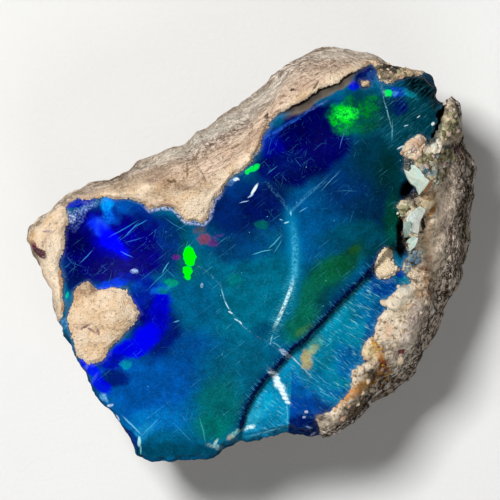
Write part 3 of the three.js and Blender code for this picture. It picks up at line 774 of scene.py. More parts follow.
@dataclass(frozen=True)
class Clump:
    """Crumbs that lie together: outline, count, sizes in mm, the tones they take in turn, and how sunk."""

    name: str
    outline: Path
    count: int
    smallest: float
    largest: float
    tones: tuple[int, ...]
    sunk: float

    def places(self) -> tuple[Array, Array]:
        """Places spread evenly: two ratios step through the outline's box, and those outside drop out."""
        corners = np.array(self.outline)
        low, high = corners.min(axis=0), corners.max(axis=0)
        tries = self.count * TRIES_EACH
        x = mixed(low[0], high[0], stepped(tries, PLASTIC))
        y = mixed(low[1], high[1], stepped(tries, PLASTIC**2))
        inside = depth_inside(x, y, self.outline) > 0
        return x[inside][: self.count], y[inside][: self.count]


@dataclass
class Crumbs:
    """Angular grains of the coarse rind, in clumps along the window's right edge and down the flank."""

    clumps: tuple[Clump, ...] = (
        Clump("pink", PINK_CLUMP, 56, 0.25, 0.8, (2, 1, 4, 0, 3), 0.1),
        Clump("pale", PALE_CLUMP, 9, 0.4, 0.95, (4, 4, 5), 0.1),
        Clump("spike", SPIKE_CLUMP, 60, 0.2, 0.7, (6, 7, 6, 2, 6, 3), 0.1),
        Clump("left", LEFT_CLUMP, 14, 0.3, 0.6, (7, 6, 5, 6), 0.3),
        Clump("olive", OLIVE_CLUMP, 80, 0.2, 0.7, (6, 7, 8, 6, 7, 3, 5, 7), 0.3),
        Clump("below", BLUE_CLUMP, 26, 0.2, 0.6, (9, 8, 9, 8), 0.2),
        Clump("knobs", LOW_CLUMP, 22, 0.5, 1.1, (2,), 0.6),
        Clump("tail", TAIL_CLUMP, 12, 0.5, 0.9, (2, 1), 0.6),
        Clump("gold", GOLD_CLUMP, 26, 0.25, 0.6, (10, 10, 11), 0.62),
        Clump("islet", ISLET, 60, 0.2, 0.55, (4, 2, 4), 0.6),
        Clump("patch", BROW_PATCH, 22, 0.2, 0.6, (6, 2, 7, 1, 0), 0.5),
    )
    rings: int = 5
    columns: int = 10
    chips: int = 9
    chip_depth: Pair = (0.5, 0.88)
    narrow: float = 0.78
    flat: float = 0.72

    def chipped(self, count: int) -> tuple[Array, int]:
        """Balls of radius 1 on a grid of turn and height, each cut back to planes of its own.

        Returns:
            The points, one row of them for each crumb, and the number of tries at a direction.
        """
        polar = np.linspace(0, math.pi, self.rings + 2)[1:-1]
        turn = np.arange(self.columns) / self.columns * 2 * math.pi
        ring = np.stack([
            np.sin(polar)[:, None] * np.cos(turn),
            np.sin(polar)[:, None] * np.sin(turn),
            np.cos(polar)[:, None] * np.ones_like(turn),
        ], -1).reshape(-1, 3)
        ball = np.concatenate([[[0, 0, 1.0]], ring, [[0, 0, -1.0]]])
        keep = np.ones((count, len(ball)))
        for chip in range(self.chips):
            height = 1 - 2 * hashed(count, chip + 0.1)
            around = hashed(count, chip + 0.4) * 2 * math.pi
            wide = np.sqrt(1 - height**2)
            normal = np.stack([wide * np.cos(around), wide * np.sin(around), height], -1)
            depth = mixed(*self.chip_depth, hashed(count, chip + 0.7))
            keep = np.minimum(keep, depth[:, None] / np.maximum(normal @ ball.T, 1e-3))
        return ball[None] * keep[..., None], len(ball)

    def build(self, stone: Stone, ground: BVHTree) -> bpy.types.Object:
        """Builds all the crumbs as one mesh.

        Each is a chipped ball, squeezed, turned and set a little into the stone below it.

        Args:
            stone: the stone, for its shift onto the part.
            ground: the surface of the stone in metres.

        Returns:
            The joined crumbs.
        """
        spots = [clump.places() for clump in self.clumps]
        x = np.concatenate([spot[0] for spot in spots]) + stone.shift[0]
        y = np.concatenate([spot[1] for spot in spots]) + stone.shift[1]
        z = landings(ground, x, y)
        sizes, tones, sunk = [], [], []
        for number, (clump, spot) in enumerate(zip(self.clumps, spots)):
            count = len(spot[0])
            share = hashed(count, number + 0.25) ** 1.6
            sizes.append(mixed(clump.smallest, clump.largest, share))
            tones.append(np.resize(clump.tones, count))
            sunk.append(np.full(count, clump.sunk))
        size, tone, sink = (np.concatenate(part) for part in (sizes, tones, sunk))

        balls, points_each = self.chipped(len(x))
        balls = balls * (1, self.narrow, self.flat)
        lean = hashed(len(x), 0.9) * 2 * math.pi
        cos, sin = np.cos(lean)[:, None], np.sin(lean)[:, None]
        bx, by, bz = np.moveaxis(balls, -1, 0)
        points = np.stack([bx * cos - by * sin, bx * sin + by * cos, bz], -1) * size[:, None, None]
        points += np.stack([x, y, z - sink * size], -1)[:, None]

        inner = 1 + np.arange(self.rings * self.columns).reshape(self.rings, self.columns)
        quads = ring_quads(inner[:-1], inner[1:])
        top = np.stack([np.zeros(self.columns, int), inner[0], np.roll(inner[0], -1)], -1)
        foot = np.full(self.columns, points_each - 1)
        bottom = np.stack([inner[-1], foot, np.roll(inner[-1], -1)], -1)
        steps = np.arange(len(x))[:, None, None] * points_each
        piece = closed_mesh(
            "coarse_crumbs",
            points.reshape(-1, 3),
            (quads[None] + steps).reshape(-1, 4),
            (np.concatenate([top, bottom])[None] + steps).reshape(-1, 3),
            smooth_faces=False,
        )
        keep_values(piece, "tone", np.repeat(tone, points_each))
        return piece


@dataclass
class ChalkFlakes:
    """Pale flakes of chalky stone that stand in the break on the right."""

    columns: int = 160
    rings: int = 18
    proud: tuple[float, ...] = (1.5, 0.9, 0.85, 0.8, 0.75)
    sunk: float = 2.4
    edge: float = 0.14
    side_start: float = 2.5
    waist: float = 0.4
    top_share: float = 0.95
    side_shares: tuple[float, ...] = (0.99, 1.0, 1.0, 0.9)
    facets: int = 6
    facet_fall: float = 0.34
    facet_reach: float = 0.3
    ragged: tuple[Pair, ...] = ((0.9, 0.05), (0.35, 0.05))
    span: float = 1.3
    # the facets' tones are partly the chalk's own and partly painted shade, lighter and darker on facets as
    # light would fall on them
    tones: tuple[tuple[int, ...], ...] = (
        (1, 3, 1, 1, 3, 1), (5, 6, 5, 5, 6, 5), (2, 0, 4, 0, 2, 4), (7, 7, 3, 7, 7, 3), (3, 7, 3, 7, 1, 3),
    )

    def build(self, stone: Stone, ground: BVHTree) -> bpy.types.Object:
        """Builds the flakes as one mesh.

        Each is a slab whose plan is its outline measured from its middle at every turn. From the middle
        out, rings cross its top, round its edge and go down into the stone. It leans as the stone does.
        """
        points, quads, triangles, tones = [], [], [], []
        for number, outline in enumerate(FLAKE_OUTLINES):
            slab, slab_quads, slab_triangles, tone = self.slab(number, outline, stone, ground)
            start = sum(len(part) for part in points)
            points.append(slab)
            quads.append(slab_quads + start)
            triangles.append(slab_triangles + start)
            tones.append(tone)
        piece = closed_mesh(
            "chalk_flakes", np.concatenate(points), np.concatenate(quads), np.concatenate(triangles)
        )
        keep_values(piece, "tone", np.concatenate(tones))
        return piece

    def chips(self, number: int, x: Array, y: Array) -> tuple[Array, Array]:
        """How far the top falls below its crown where planes have chipped it, and the tone of that plane."""
        shares = (hashed(self.facets, number + 0.6) * 0.4 + np.arange(self.facets)) / self.facets
        around = shares * 2 * math.pi
        start = hashed(self.facets, number + 0.2) * self.facet_reach
        out = x[:, None] * np.cos(around) + y[:, None] * np.sin(around)
        falls = self.facet_fall * (out - start)
        return falls.max(axis=1), np.array(self.tones[number])[falls.argmax(axis=1)]

    def slab(
        self, number: int, outline: Path, stone: Stone, ground: BVHTree
    ) -> tuple[Array, Array, Array, Array]:
        """One flake's points in the part's frame, quads, triangles and the tone of each point."""
        middle = np.array(outline).mean(axis=0)
        a = np.arange(self.columns) / self.columns * 2 * math.pi
        reach = reach_out(np.array(outline) - middle, a)

        top = np.linspace(0, 1, self.rings)[1:]
        proud = self.proud[number]
        sides = [proud - self.edge, proud - self.side_start * self.edge, -self.waist * self.sunk, -self.sunk]
        out = np.concatenate([top * self.top_share, self.side_shares])
        rise = np.concatenate([np.full(len(top), proud), sides])
        x = out[:, None] * reach * np.cos(a)
        y = out[:, None] * reach * np.sin(a)
        z = np.broadcast_to(rise[:, None], x.shape)
        rows = np.stack([x, y, z], -1).reshape(-1, 3)
        slab = np.concatenate([[[0, 0, proud]], rows, [[0, 0, -self.sunk]]])
        place = slab + (*middle, 0)
        fall, tone = self.chips(number, slab[:, 0], slab[:, 1])
        slab[:, 0] += lumps(place, self.ragged)
        slab[:, 1] += lumps(place + 9.1, self.ragged)
        slab[:, 2] += (lumps(place + 3.3, self.ragged) * 0.5 - fall) * (slab[:, 2] > 0)

        cx, cy = middle + np.array(stone.shift[:2])
        nearby = np.array([0, self.span, -self.span, 0, 0]), np.array([0, 0, 0, self.span, -self.span])
        height = landings(ground, cx + nearby[0], cy + nearby[1])
        lean_x, lean_y = (height[1] - height[2]) / (2 * self.span), (height[3] - height[4]) / (2 * self.span)
        slab[:, 2] += lean_x * slab[:, 0] + lean_y * slab[:, 1] + np.median(height)
        slab[:, :2] += (cx, cy)

        ring = 1 + np.arange(len(out) * self.columns).reshape(len(out), self.columns)
        first = np.stack([np.zeros(self.columns, int), ring[0], np.roll(ring[0], -1)], -1)
        last = np.stack([ring[-1], np.full(self.columns, len(slab) - 1), np.roll(ring[-1], -1)], -1)
        return slab, ring_quads(ring[:-1], ring[1:]), np.concatenate([first, last]), tone


def reach_out(corners: Array, turn: Array) -> Array:
    """How far an outline lies from the origin at each turn, where a ray crosses the farthest of its legs."""
    legs = np.roll(corners, -1, axis=0) - corners
    ray = np.stack([np.cos(turn), np.sin(turn)], -1)[:, None]
    spread = ray[..., 0] * legs[:, 1] - ray[..., 1] * legs[:, 0]
    far = (corners[:, 0] * legs[:, 1] - corners[:, 1] * legs[:, 0]) / spread
    along = (corners[:, 0] * ray[..., 1] - corners[:, 1] * ray[..., 0]) / spread
    return np.where((along >= -1e-9) & (along <= 1 + 1e-9), far, 0).max(axis=1)


def landings(ground: BVHTree, x: Array, y: Array) -> Array:
    """The height in mm at which a drop from above lands on the stone, at each place in mm."""
    sky, down = 0.1, Vector((0, 0, -1))
    hits = [ground.ray_cast(Vector((px * MM, py * MM, sky)), down)[0] for px, py in zip(x, y)]
    return np.array([hit.z / MM if hit else 0 for hit in hits])


# ---------- finishes ----------


class Edge(Enum):
    """How a patch of colour ends."""

    BROAD = "broad"
    RAGGED = "ragged"
    FINE = "fine"


@dataclass(frozen=True)
class Flash:
    """An oval patch of colour: centre, half length and half width in mm, turn in degrees, softness of its
    edge, colour, strength, and how far it breaks up into mottles.
    """

    x: float
    y: float
    along: float
    across: float
    turn: float
    soft: float
    colour: str
    strength: float = 1
    mottled: float = 0

    @property
    def edge(self) -> Edge:
        """Large patches end in broad wanderings, small ones raggedly and thin ones in fine wanderings."""
        if min(self.along, self.across) < 0.25:
            return Edge.FINE
        return Edge.BROAD if self.along > 2.4 else Edge.RAGGED


def patches_of(*rows: tuple[float | str, ...]) -> list[Flash]:
    """One patch for each row of its measures: x, y, along, across, turn, soft, colour, strength, mottled."""
    return [Flash(*row) for row in rows]


# ---------- patches of colour, in millimetres, laid in this order ----------

# the play of colour across the break, from the broad fields to the small bright spots
OPAL_FLASHES = patches_of(
    # the teal middle and the ground east of the crest
    (0.2, -5.2, 8.68, 7.28, 0, 0.9, "00798A"), (-2.3, -1.3, 5.04, 2.52, 0, 0.9, "006F86", 0.9),
    (10, 4.3, 5.6, 6.3, 0, 0.9, "00659A"), (13.9, 10.5, 5.04, 4.76, 0, 0.9, "003068", 0.9),
    (17.6, 13.3, 3.64, 3.64, 0, 0.9, "003A44", 0.85), (19.8, 8.8, 2.38, 6.16, 0, 0.9, "00342E", 0.9),
    (17.6, 5.4, 3.64, 3.08, 0, 0.9, "002848", 0.85), (20.1, 3.7, 1.26, 4.2, 0, 0.9, "00502F", 0.8),
    (17.6, -0.2, 1.96, 1.4, 45, 0.9, "00384A", 0.8), (15.1, 2.6, 2.8, 1.54, 15, 0.9, "00504C", 0.75),
    (17.3, 1.8, 2.52, 2.1, 0, 0.9, "00423C", 0.55), (-0.8, -20.6, 1.68, 0.84, 60, 0.9, "00485C", 0.7),
    (13.5, 2.3, 4.2, 1.96, 15, 0.9, "00586A", 0.8),
    # the dark corner
    (22.9, 19.1, 4.76, 4.76, 0, 0.7, "004A54"), (24.3, 23.3, 2.94, 1.68, -30, 0.8, "000C10", 0.97),
    (25.7, 24.7, 1.26, 0.36, -30, 0.6, "50645C", 0.7, 0.5),
    # green ground above the step
    (13.4, -1.3, 3.36, 1.54, 45, 0.9, "0A5A34", 0.95), (11.1, -3, 2.8, 2.38, 60, 0.9, "087040", 0.95),
    (9, -6.9, 3.64, 2.1, 75, 0.9, "087452", 0.95), (7.2, -10.5, 2.8, 1.82, 45, 0.9, "067A56", 0.95),
    (12.1, -6.3, 1.96, 3.08, -45, 0.9, "003A5E", 0.6), (14.8, 0.5, 0.98, 0.49, 30, 1.1, "1E6428", 0.8),
    (7.8, -10.8, 1.26, 0.56, 30, 0.9, "3F8A35", 0.7), (1.8, -10.8, 1.12, 1.54, -45, 1, "003A5C", 0.75, 0.3),
    # deep blue under the rind, and the west of the middle
    (-0.5, 6, 6.44, 4.2, 15, 0.9, "001F66", 0.95), (-1.2, 0.7, 5.04, 1.82, 0, 0.9, "003670", 0.75),
    (-1.5, 8.8, 1.96, 1.4, 0, 0.8, "003A7C", 0.8), (1.9, 6.7, 3.08, 2.24, 30, 0.8, "000C55", 0.8),
    (-10.2, 2.3, 2.24, 2.52, 0, 0.9, "00505F", 0.85), (-7.4, -6.6, 3.64, 3.92, 0, 0.9, "00678A", 0.8),
    # the south down to the toe
    (-13.8, -18.9, 7.28, 5.04, 0, 0.8, "0062B2", 0.95), (-8.5, -13.9, 4.76, 3.36, 0, 0.9, "004F92", 0.85),
    (-1.8, -16.1, 4.76, 3.64, 0, 0.9, "006A7C", 0.85), (-4.1, -21.7, 3.64, 4.48, 0, 0.9, "00736A", 0.9),
    (-5, -24.5, 2.24, 1.68, 0, 0.8, "007C66", 0.6), (-13, -23.4, 5.04, 1.68, 15, 0.9, "0081C0", 0.85),
    (-15.1, -25.4, 1.96, 0.98, 45, 0.8, "18A0CC", 0.75), (-9.6, -27.8, 6.44, 1.12, 0, 0.5, "005E74", 0.95),
    (-17.2, -25.4, 2.8, 0.84, -45, 0.6, "00156E", 0.9),
    # navy fields
    (-18.6, 0.9, 8.4, 5.74, 0, 0.35, "04007C"), (-23.9, 2.3, 2.24, 3.36, 0, 0.8, "000059", 0.85),
    (-21.4, -2.4, 5.6, 1.96, 0, 0.7, "020068", 0.55), (7.8, 14.2, 7.56, 3.92, 30, 0.35, "00005E"),
    (7.2, 11.3, 4.2, 1.96, 30, 0.7, "000550", 0.6), (3.6, 15.4, 2.24, 1.68, 45, 0.8, "0000A8", 0.85),
    (4.7, 12.1, 3.08, 1.68, 15, 0.8, "00206E", 0.6, 0.6), (8.3, 18, 4.76, 2.8, 30, 0.45, "000058"),
    (-11, 2.1, 1.68, 2.24, 0, 0.9, "003C80", 0.75), (-10.6, -1.3, 1.68, 1.82, 0, 0.9, "003068", 0.7),
    (-16.9, 2.1, 1.26, 1.82, 0, 0.9, "0000A8", 0.6), (-14.4, -6.6, 2.24, 3.36, 0, 0.6, "0008A0", 0.9),
    (-13.1, -10.8, 3.64, 4.2, -30, 0.6, "00006E", 0.9), (-18.8, -17.5, 2.24, 1.26, 0, 0.6, "00006E", 0.85),
    (20.7, 20.4, 1.54, 1.26, 0, 0.5, "00006A", 0.95),
    # blues of the west: head, streak and foot
    (-23.6, 7, 2.24, 0.7, 15, 0.5, "0000B4", 0.9), (-17.4, 6.7, 2.8, 1.26, -15, 0.8, "0059B0", 0.95),
    (-14.8, 5.1, 2.1, 1.26, -45, 0.8, "002C8C", 0.75), (-19.7, 2.2, 3.08, 1.82, -45, 1.3, "0000C4", 0.95),
    (-20.8, 3.7, 1.4, 1.12, -45, 1.1, "0A40FF", 0.9), (-18, 0.4, 1.54, 0.7, -45, 1.2, "0000F0", 0.9),
    (-18.7, 5, 0.98, 0.98, 0, 1, "0058D0", 0.8, 0.3),
    (-20.7, 3.6, 0.84, 1.12, 0, 0.8, "2A7CFF", 0.7, 0.5),
    (-19.1, -4.4, 2.38, 0.7, 15, 0.5, "0048FF", 0.9, 0.4),
    (-17, -3.4, 1.4, 0.56, 0, 0.6, "0028C0", 0.6, 0.5),
    (-15.3, -4.9, 1.12, 0.7, 0, 0.6, "0050B8", 0.6, 0.5),
    # the blue crescent and the west edge
    (-12.1, -7.2, 1.26, 2.38, 0, 0.9, "0000DC"), (-12.7, -9.7, 1.54, 1.96, 0, 0.9, "0000C4"),
    (-16.2, -13.3, 2.38, 1.33, 0, 0.6, "0000F4"), (-18, -13.9, 1.68, 0.84, 15, 0.7, "0000F0", 0.95),
    (-19, -15.3, 2.1, 1.05, 15, 0.8, "0008B8", 0.95), (-12.4, -5.2, 1.26, 0.42, 15, 0.7, "0A6EDC", 0.9),
    (-22.2, -16, 1.82, 0.84, -45, 0.5, "0014FF", 0.95),
    (-20.5, -18.5, 1.68, 0.91, -45, 0.6, "0000F0", 0.9),
    # blues along the top and in the corner
    (14.9, 23.3, 0.98, 0.7, 45, 0.4, "0000F0"), (4.6, 17.3, 2.8, 0.24, 30, 0.7, "2A6EDC", 0.8, 0.7),
    (6.7, 18.7, 1.68, 0.21, 30, 0.7, "2468C8", 0.7, 0.6),
    (9.5, 20.4, 1.82, 0.25, 30, 0.7, "5080C8", 0.8, 0.6),
    (4.8, 19.3, 1.26, 0.49, 30, 0.6, "0082A8", 0.9, 0.3), (20.8, 22.4, 1.26, 0.7, 0, 0.6, "0A50E0", 1, 0.4),
    (20.4, 22.2, 0.42, 0.34, 0, 0.7, "50B0F4", 0.9, 0.3),
    (22.3, 22.2, 1.26, 0.42, -30, 0.7, "009BA4", 0.9, 0.5), (16.2, 24.7, 1.82, 1.26, 45, 0.6, "001460"),
    (16.7, 24.2, 1.26, 0.84, 45, 0.8, "2C62A0", 0.7, 0.85),
    # the green cloud
    (16.2, 19.7, 4.2, 3.08, 0, 0.7, "00464A", 0.85),
    (14.5, 18.9, 3.64, 2.52, -15, 0.6, "006A34", 0.95, 0.5),
    (13.7, 17.2, 1.96, 0.98, 0, 0.6, "00883C", 0.85, 0.6),
    (16.7, 20.3, 1.82, 1.26, 45, 0.6, "009C2C", 0.85, 0.85),
    (14.1, 21.2, 0.7, 0.7, 45, 0.6, "009C44", 0.6, 0.8),
    (13, 19, 1.82, 1.82, 0, 0.6, "00E024", 1, 0.85),
    (12.1, 21.1, 0.98, 0.7, 45, 0.8, "003C78", 0.7, 0.3),
    # small greens
    (-8.3, -1.3, 1.54, 2.52, 0, 0.9, "00703A", 0.55), (-10.7, -4.2, 0.84, 0.63, 0, 0.5, "00B070", 0.9, 0.3),
    (-11.8, -5.2, 0.84, 0.49, 0, 0.6, "00927A", 0.8, 0.3), (1.9, 3.9, 0.98, 0.63, 0, 0.7, "006E62", 0.9),
    (-24.4, -3.5, 1.26, 2.1, 0, 0.7, "000558", 0.92), (-25.3, -5.9, 0.22, 0.48, -15, 0.5, "00C89C", 0.9),
    (-17.2, -15.6, 0.77, 0.63, 0, 0.6, "00A8B4", 0.85), (-2, -3.8, 1.12, 0.84, 0, 0.9, "008E7E", 0.6),
    # warm spots
    (-6.2, 1.9, 0.91, 0.77, 0, 0.5, "84465C", 0.95, 0.3),
    (-4.8, 1.4, 0.7, 0.49, 0, 0.6, "62307C", 0.9, 0.3),
    (-4.4, 2.3, 0.98, 0.22, 15, 0.7, "4C3C88", 0.8, 0.4),
    (-6.8, 3.2, 0.98, 0.49, 15, 0.7, "54584E", 0.75, 0.3),
    (-10, -0.6, 0.63, 0.36, 0, 0.6, "7A1A94", 0.9, 0.4),
    # shade beside the slit
    (22.3, 8.4, 1.12, 1.4, 0, 0.5, "000A28", 0.95), (21.4, 2.1, 0.7, 2.8, 0, 0.5, "020A10", 0.95),
)
# the low band beyond the step
BAND_FLASHES = patches_of(
    (16.5, -6.6, 1.4, 3.08, -15, 0.9, "0076A4", 0.8), (17.6, -10.3, 1.26, 4.48, -15, 0.9, "00508C", 0.9),
    (14.2, -15.3, 3.08, 1.82, -45, 0.9, "0068A6", 0.85), (19, -4.7, 2.24, 1.54, 0, 0.8, "003E94", 0.9),
    (17.6, -2.7, 1.4, 0.98, 0, 0.8, "000F6A", 0.9), (21.2, -2.7, 0.7, 0.84, 0, 0.6, "0000A0", 0.9),
    (11.1, -9.3, 3.08, 1.68, 45, 0.9, "00ACC0", 0.8), (9.5, -17.5, 2.8, 1.4, -30, 0.9, "007094", 0.75),
    (9.2, -12.8, 1.26, 0.84, 45, 0.9, "48B89C", 0.7),
    (8.1, -15, 1.47, 0.87, 90, 0.5, "B4B068", 0.97, 0.1),
    (9, -13.5, 0.84, 0.5, 45, 0.6, "9CC084", 0.9, 0.2), (13.5, -19.9, 2.8, 0.84, -15, 0.9, "00589A", 0.7),
)
# the bright fan below the crack
FAN_FLASHES = patches_of(
    (1.9, -20.6, 2.24, 1.4, 45, 0.9, "00BCD6", 0.7), (0.2, -23.1, 1.26, 1.96, -45, 0.9, "28B4C0", 0.6),
    (2.7, -24.5, 2.8, 0.7, 15, 0.9, "0C8FB4", 0.6),
)
# the dark wedge beside the fan
WEDGE_FLASHES = patches_of(
    (7.5, -18.9, 1.96, 1.26, 0, 0.9, "0070B4", 0.8), (7.6, -24.4, 3.64, 1.82, 0, 0.9, "00125C", 0.95),
    (10.9, -20.9, 1.96, 1.68, -45, 0.9, "003C7C", 0.8), (8.1, -22.2, 0.28, 0.22, 0, 0.5, "E4F2F8", 0.95),
    (7.8, -23, 0.28, 0.17, 0, 0.5, "BCD8F0", 0.9), (8.5, -24.4, 0.49, 0.13, -15, 0.6, "8CB4D8", 0.7),
    (9, -25.4, 0.49, 0.14, 30, 0.6, "C8D8E8", 0.8),
)
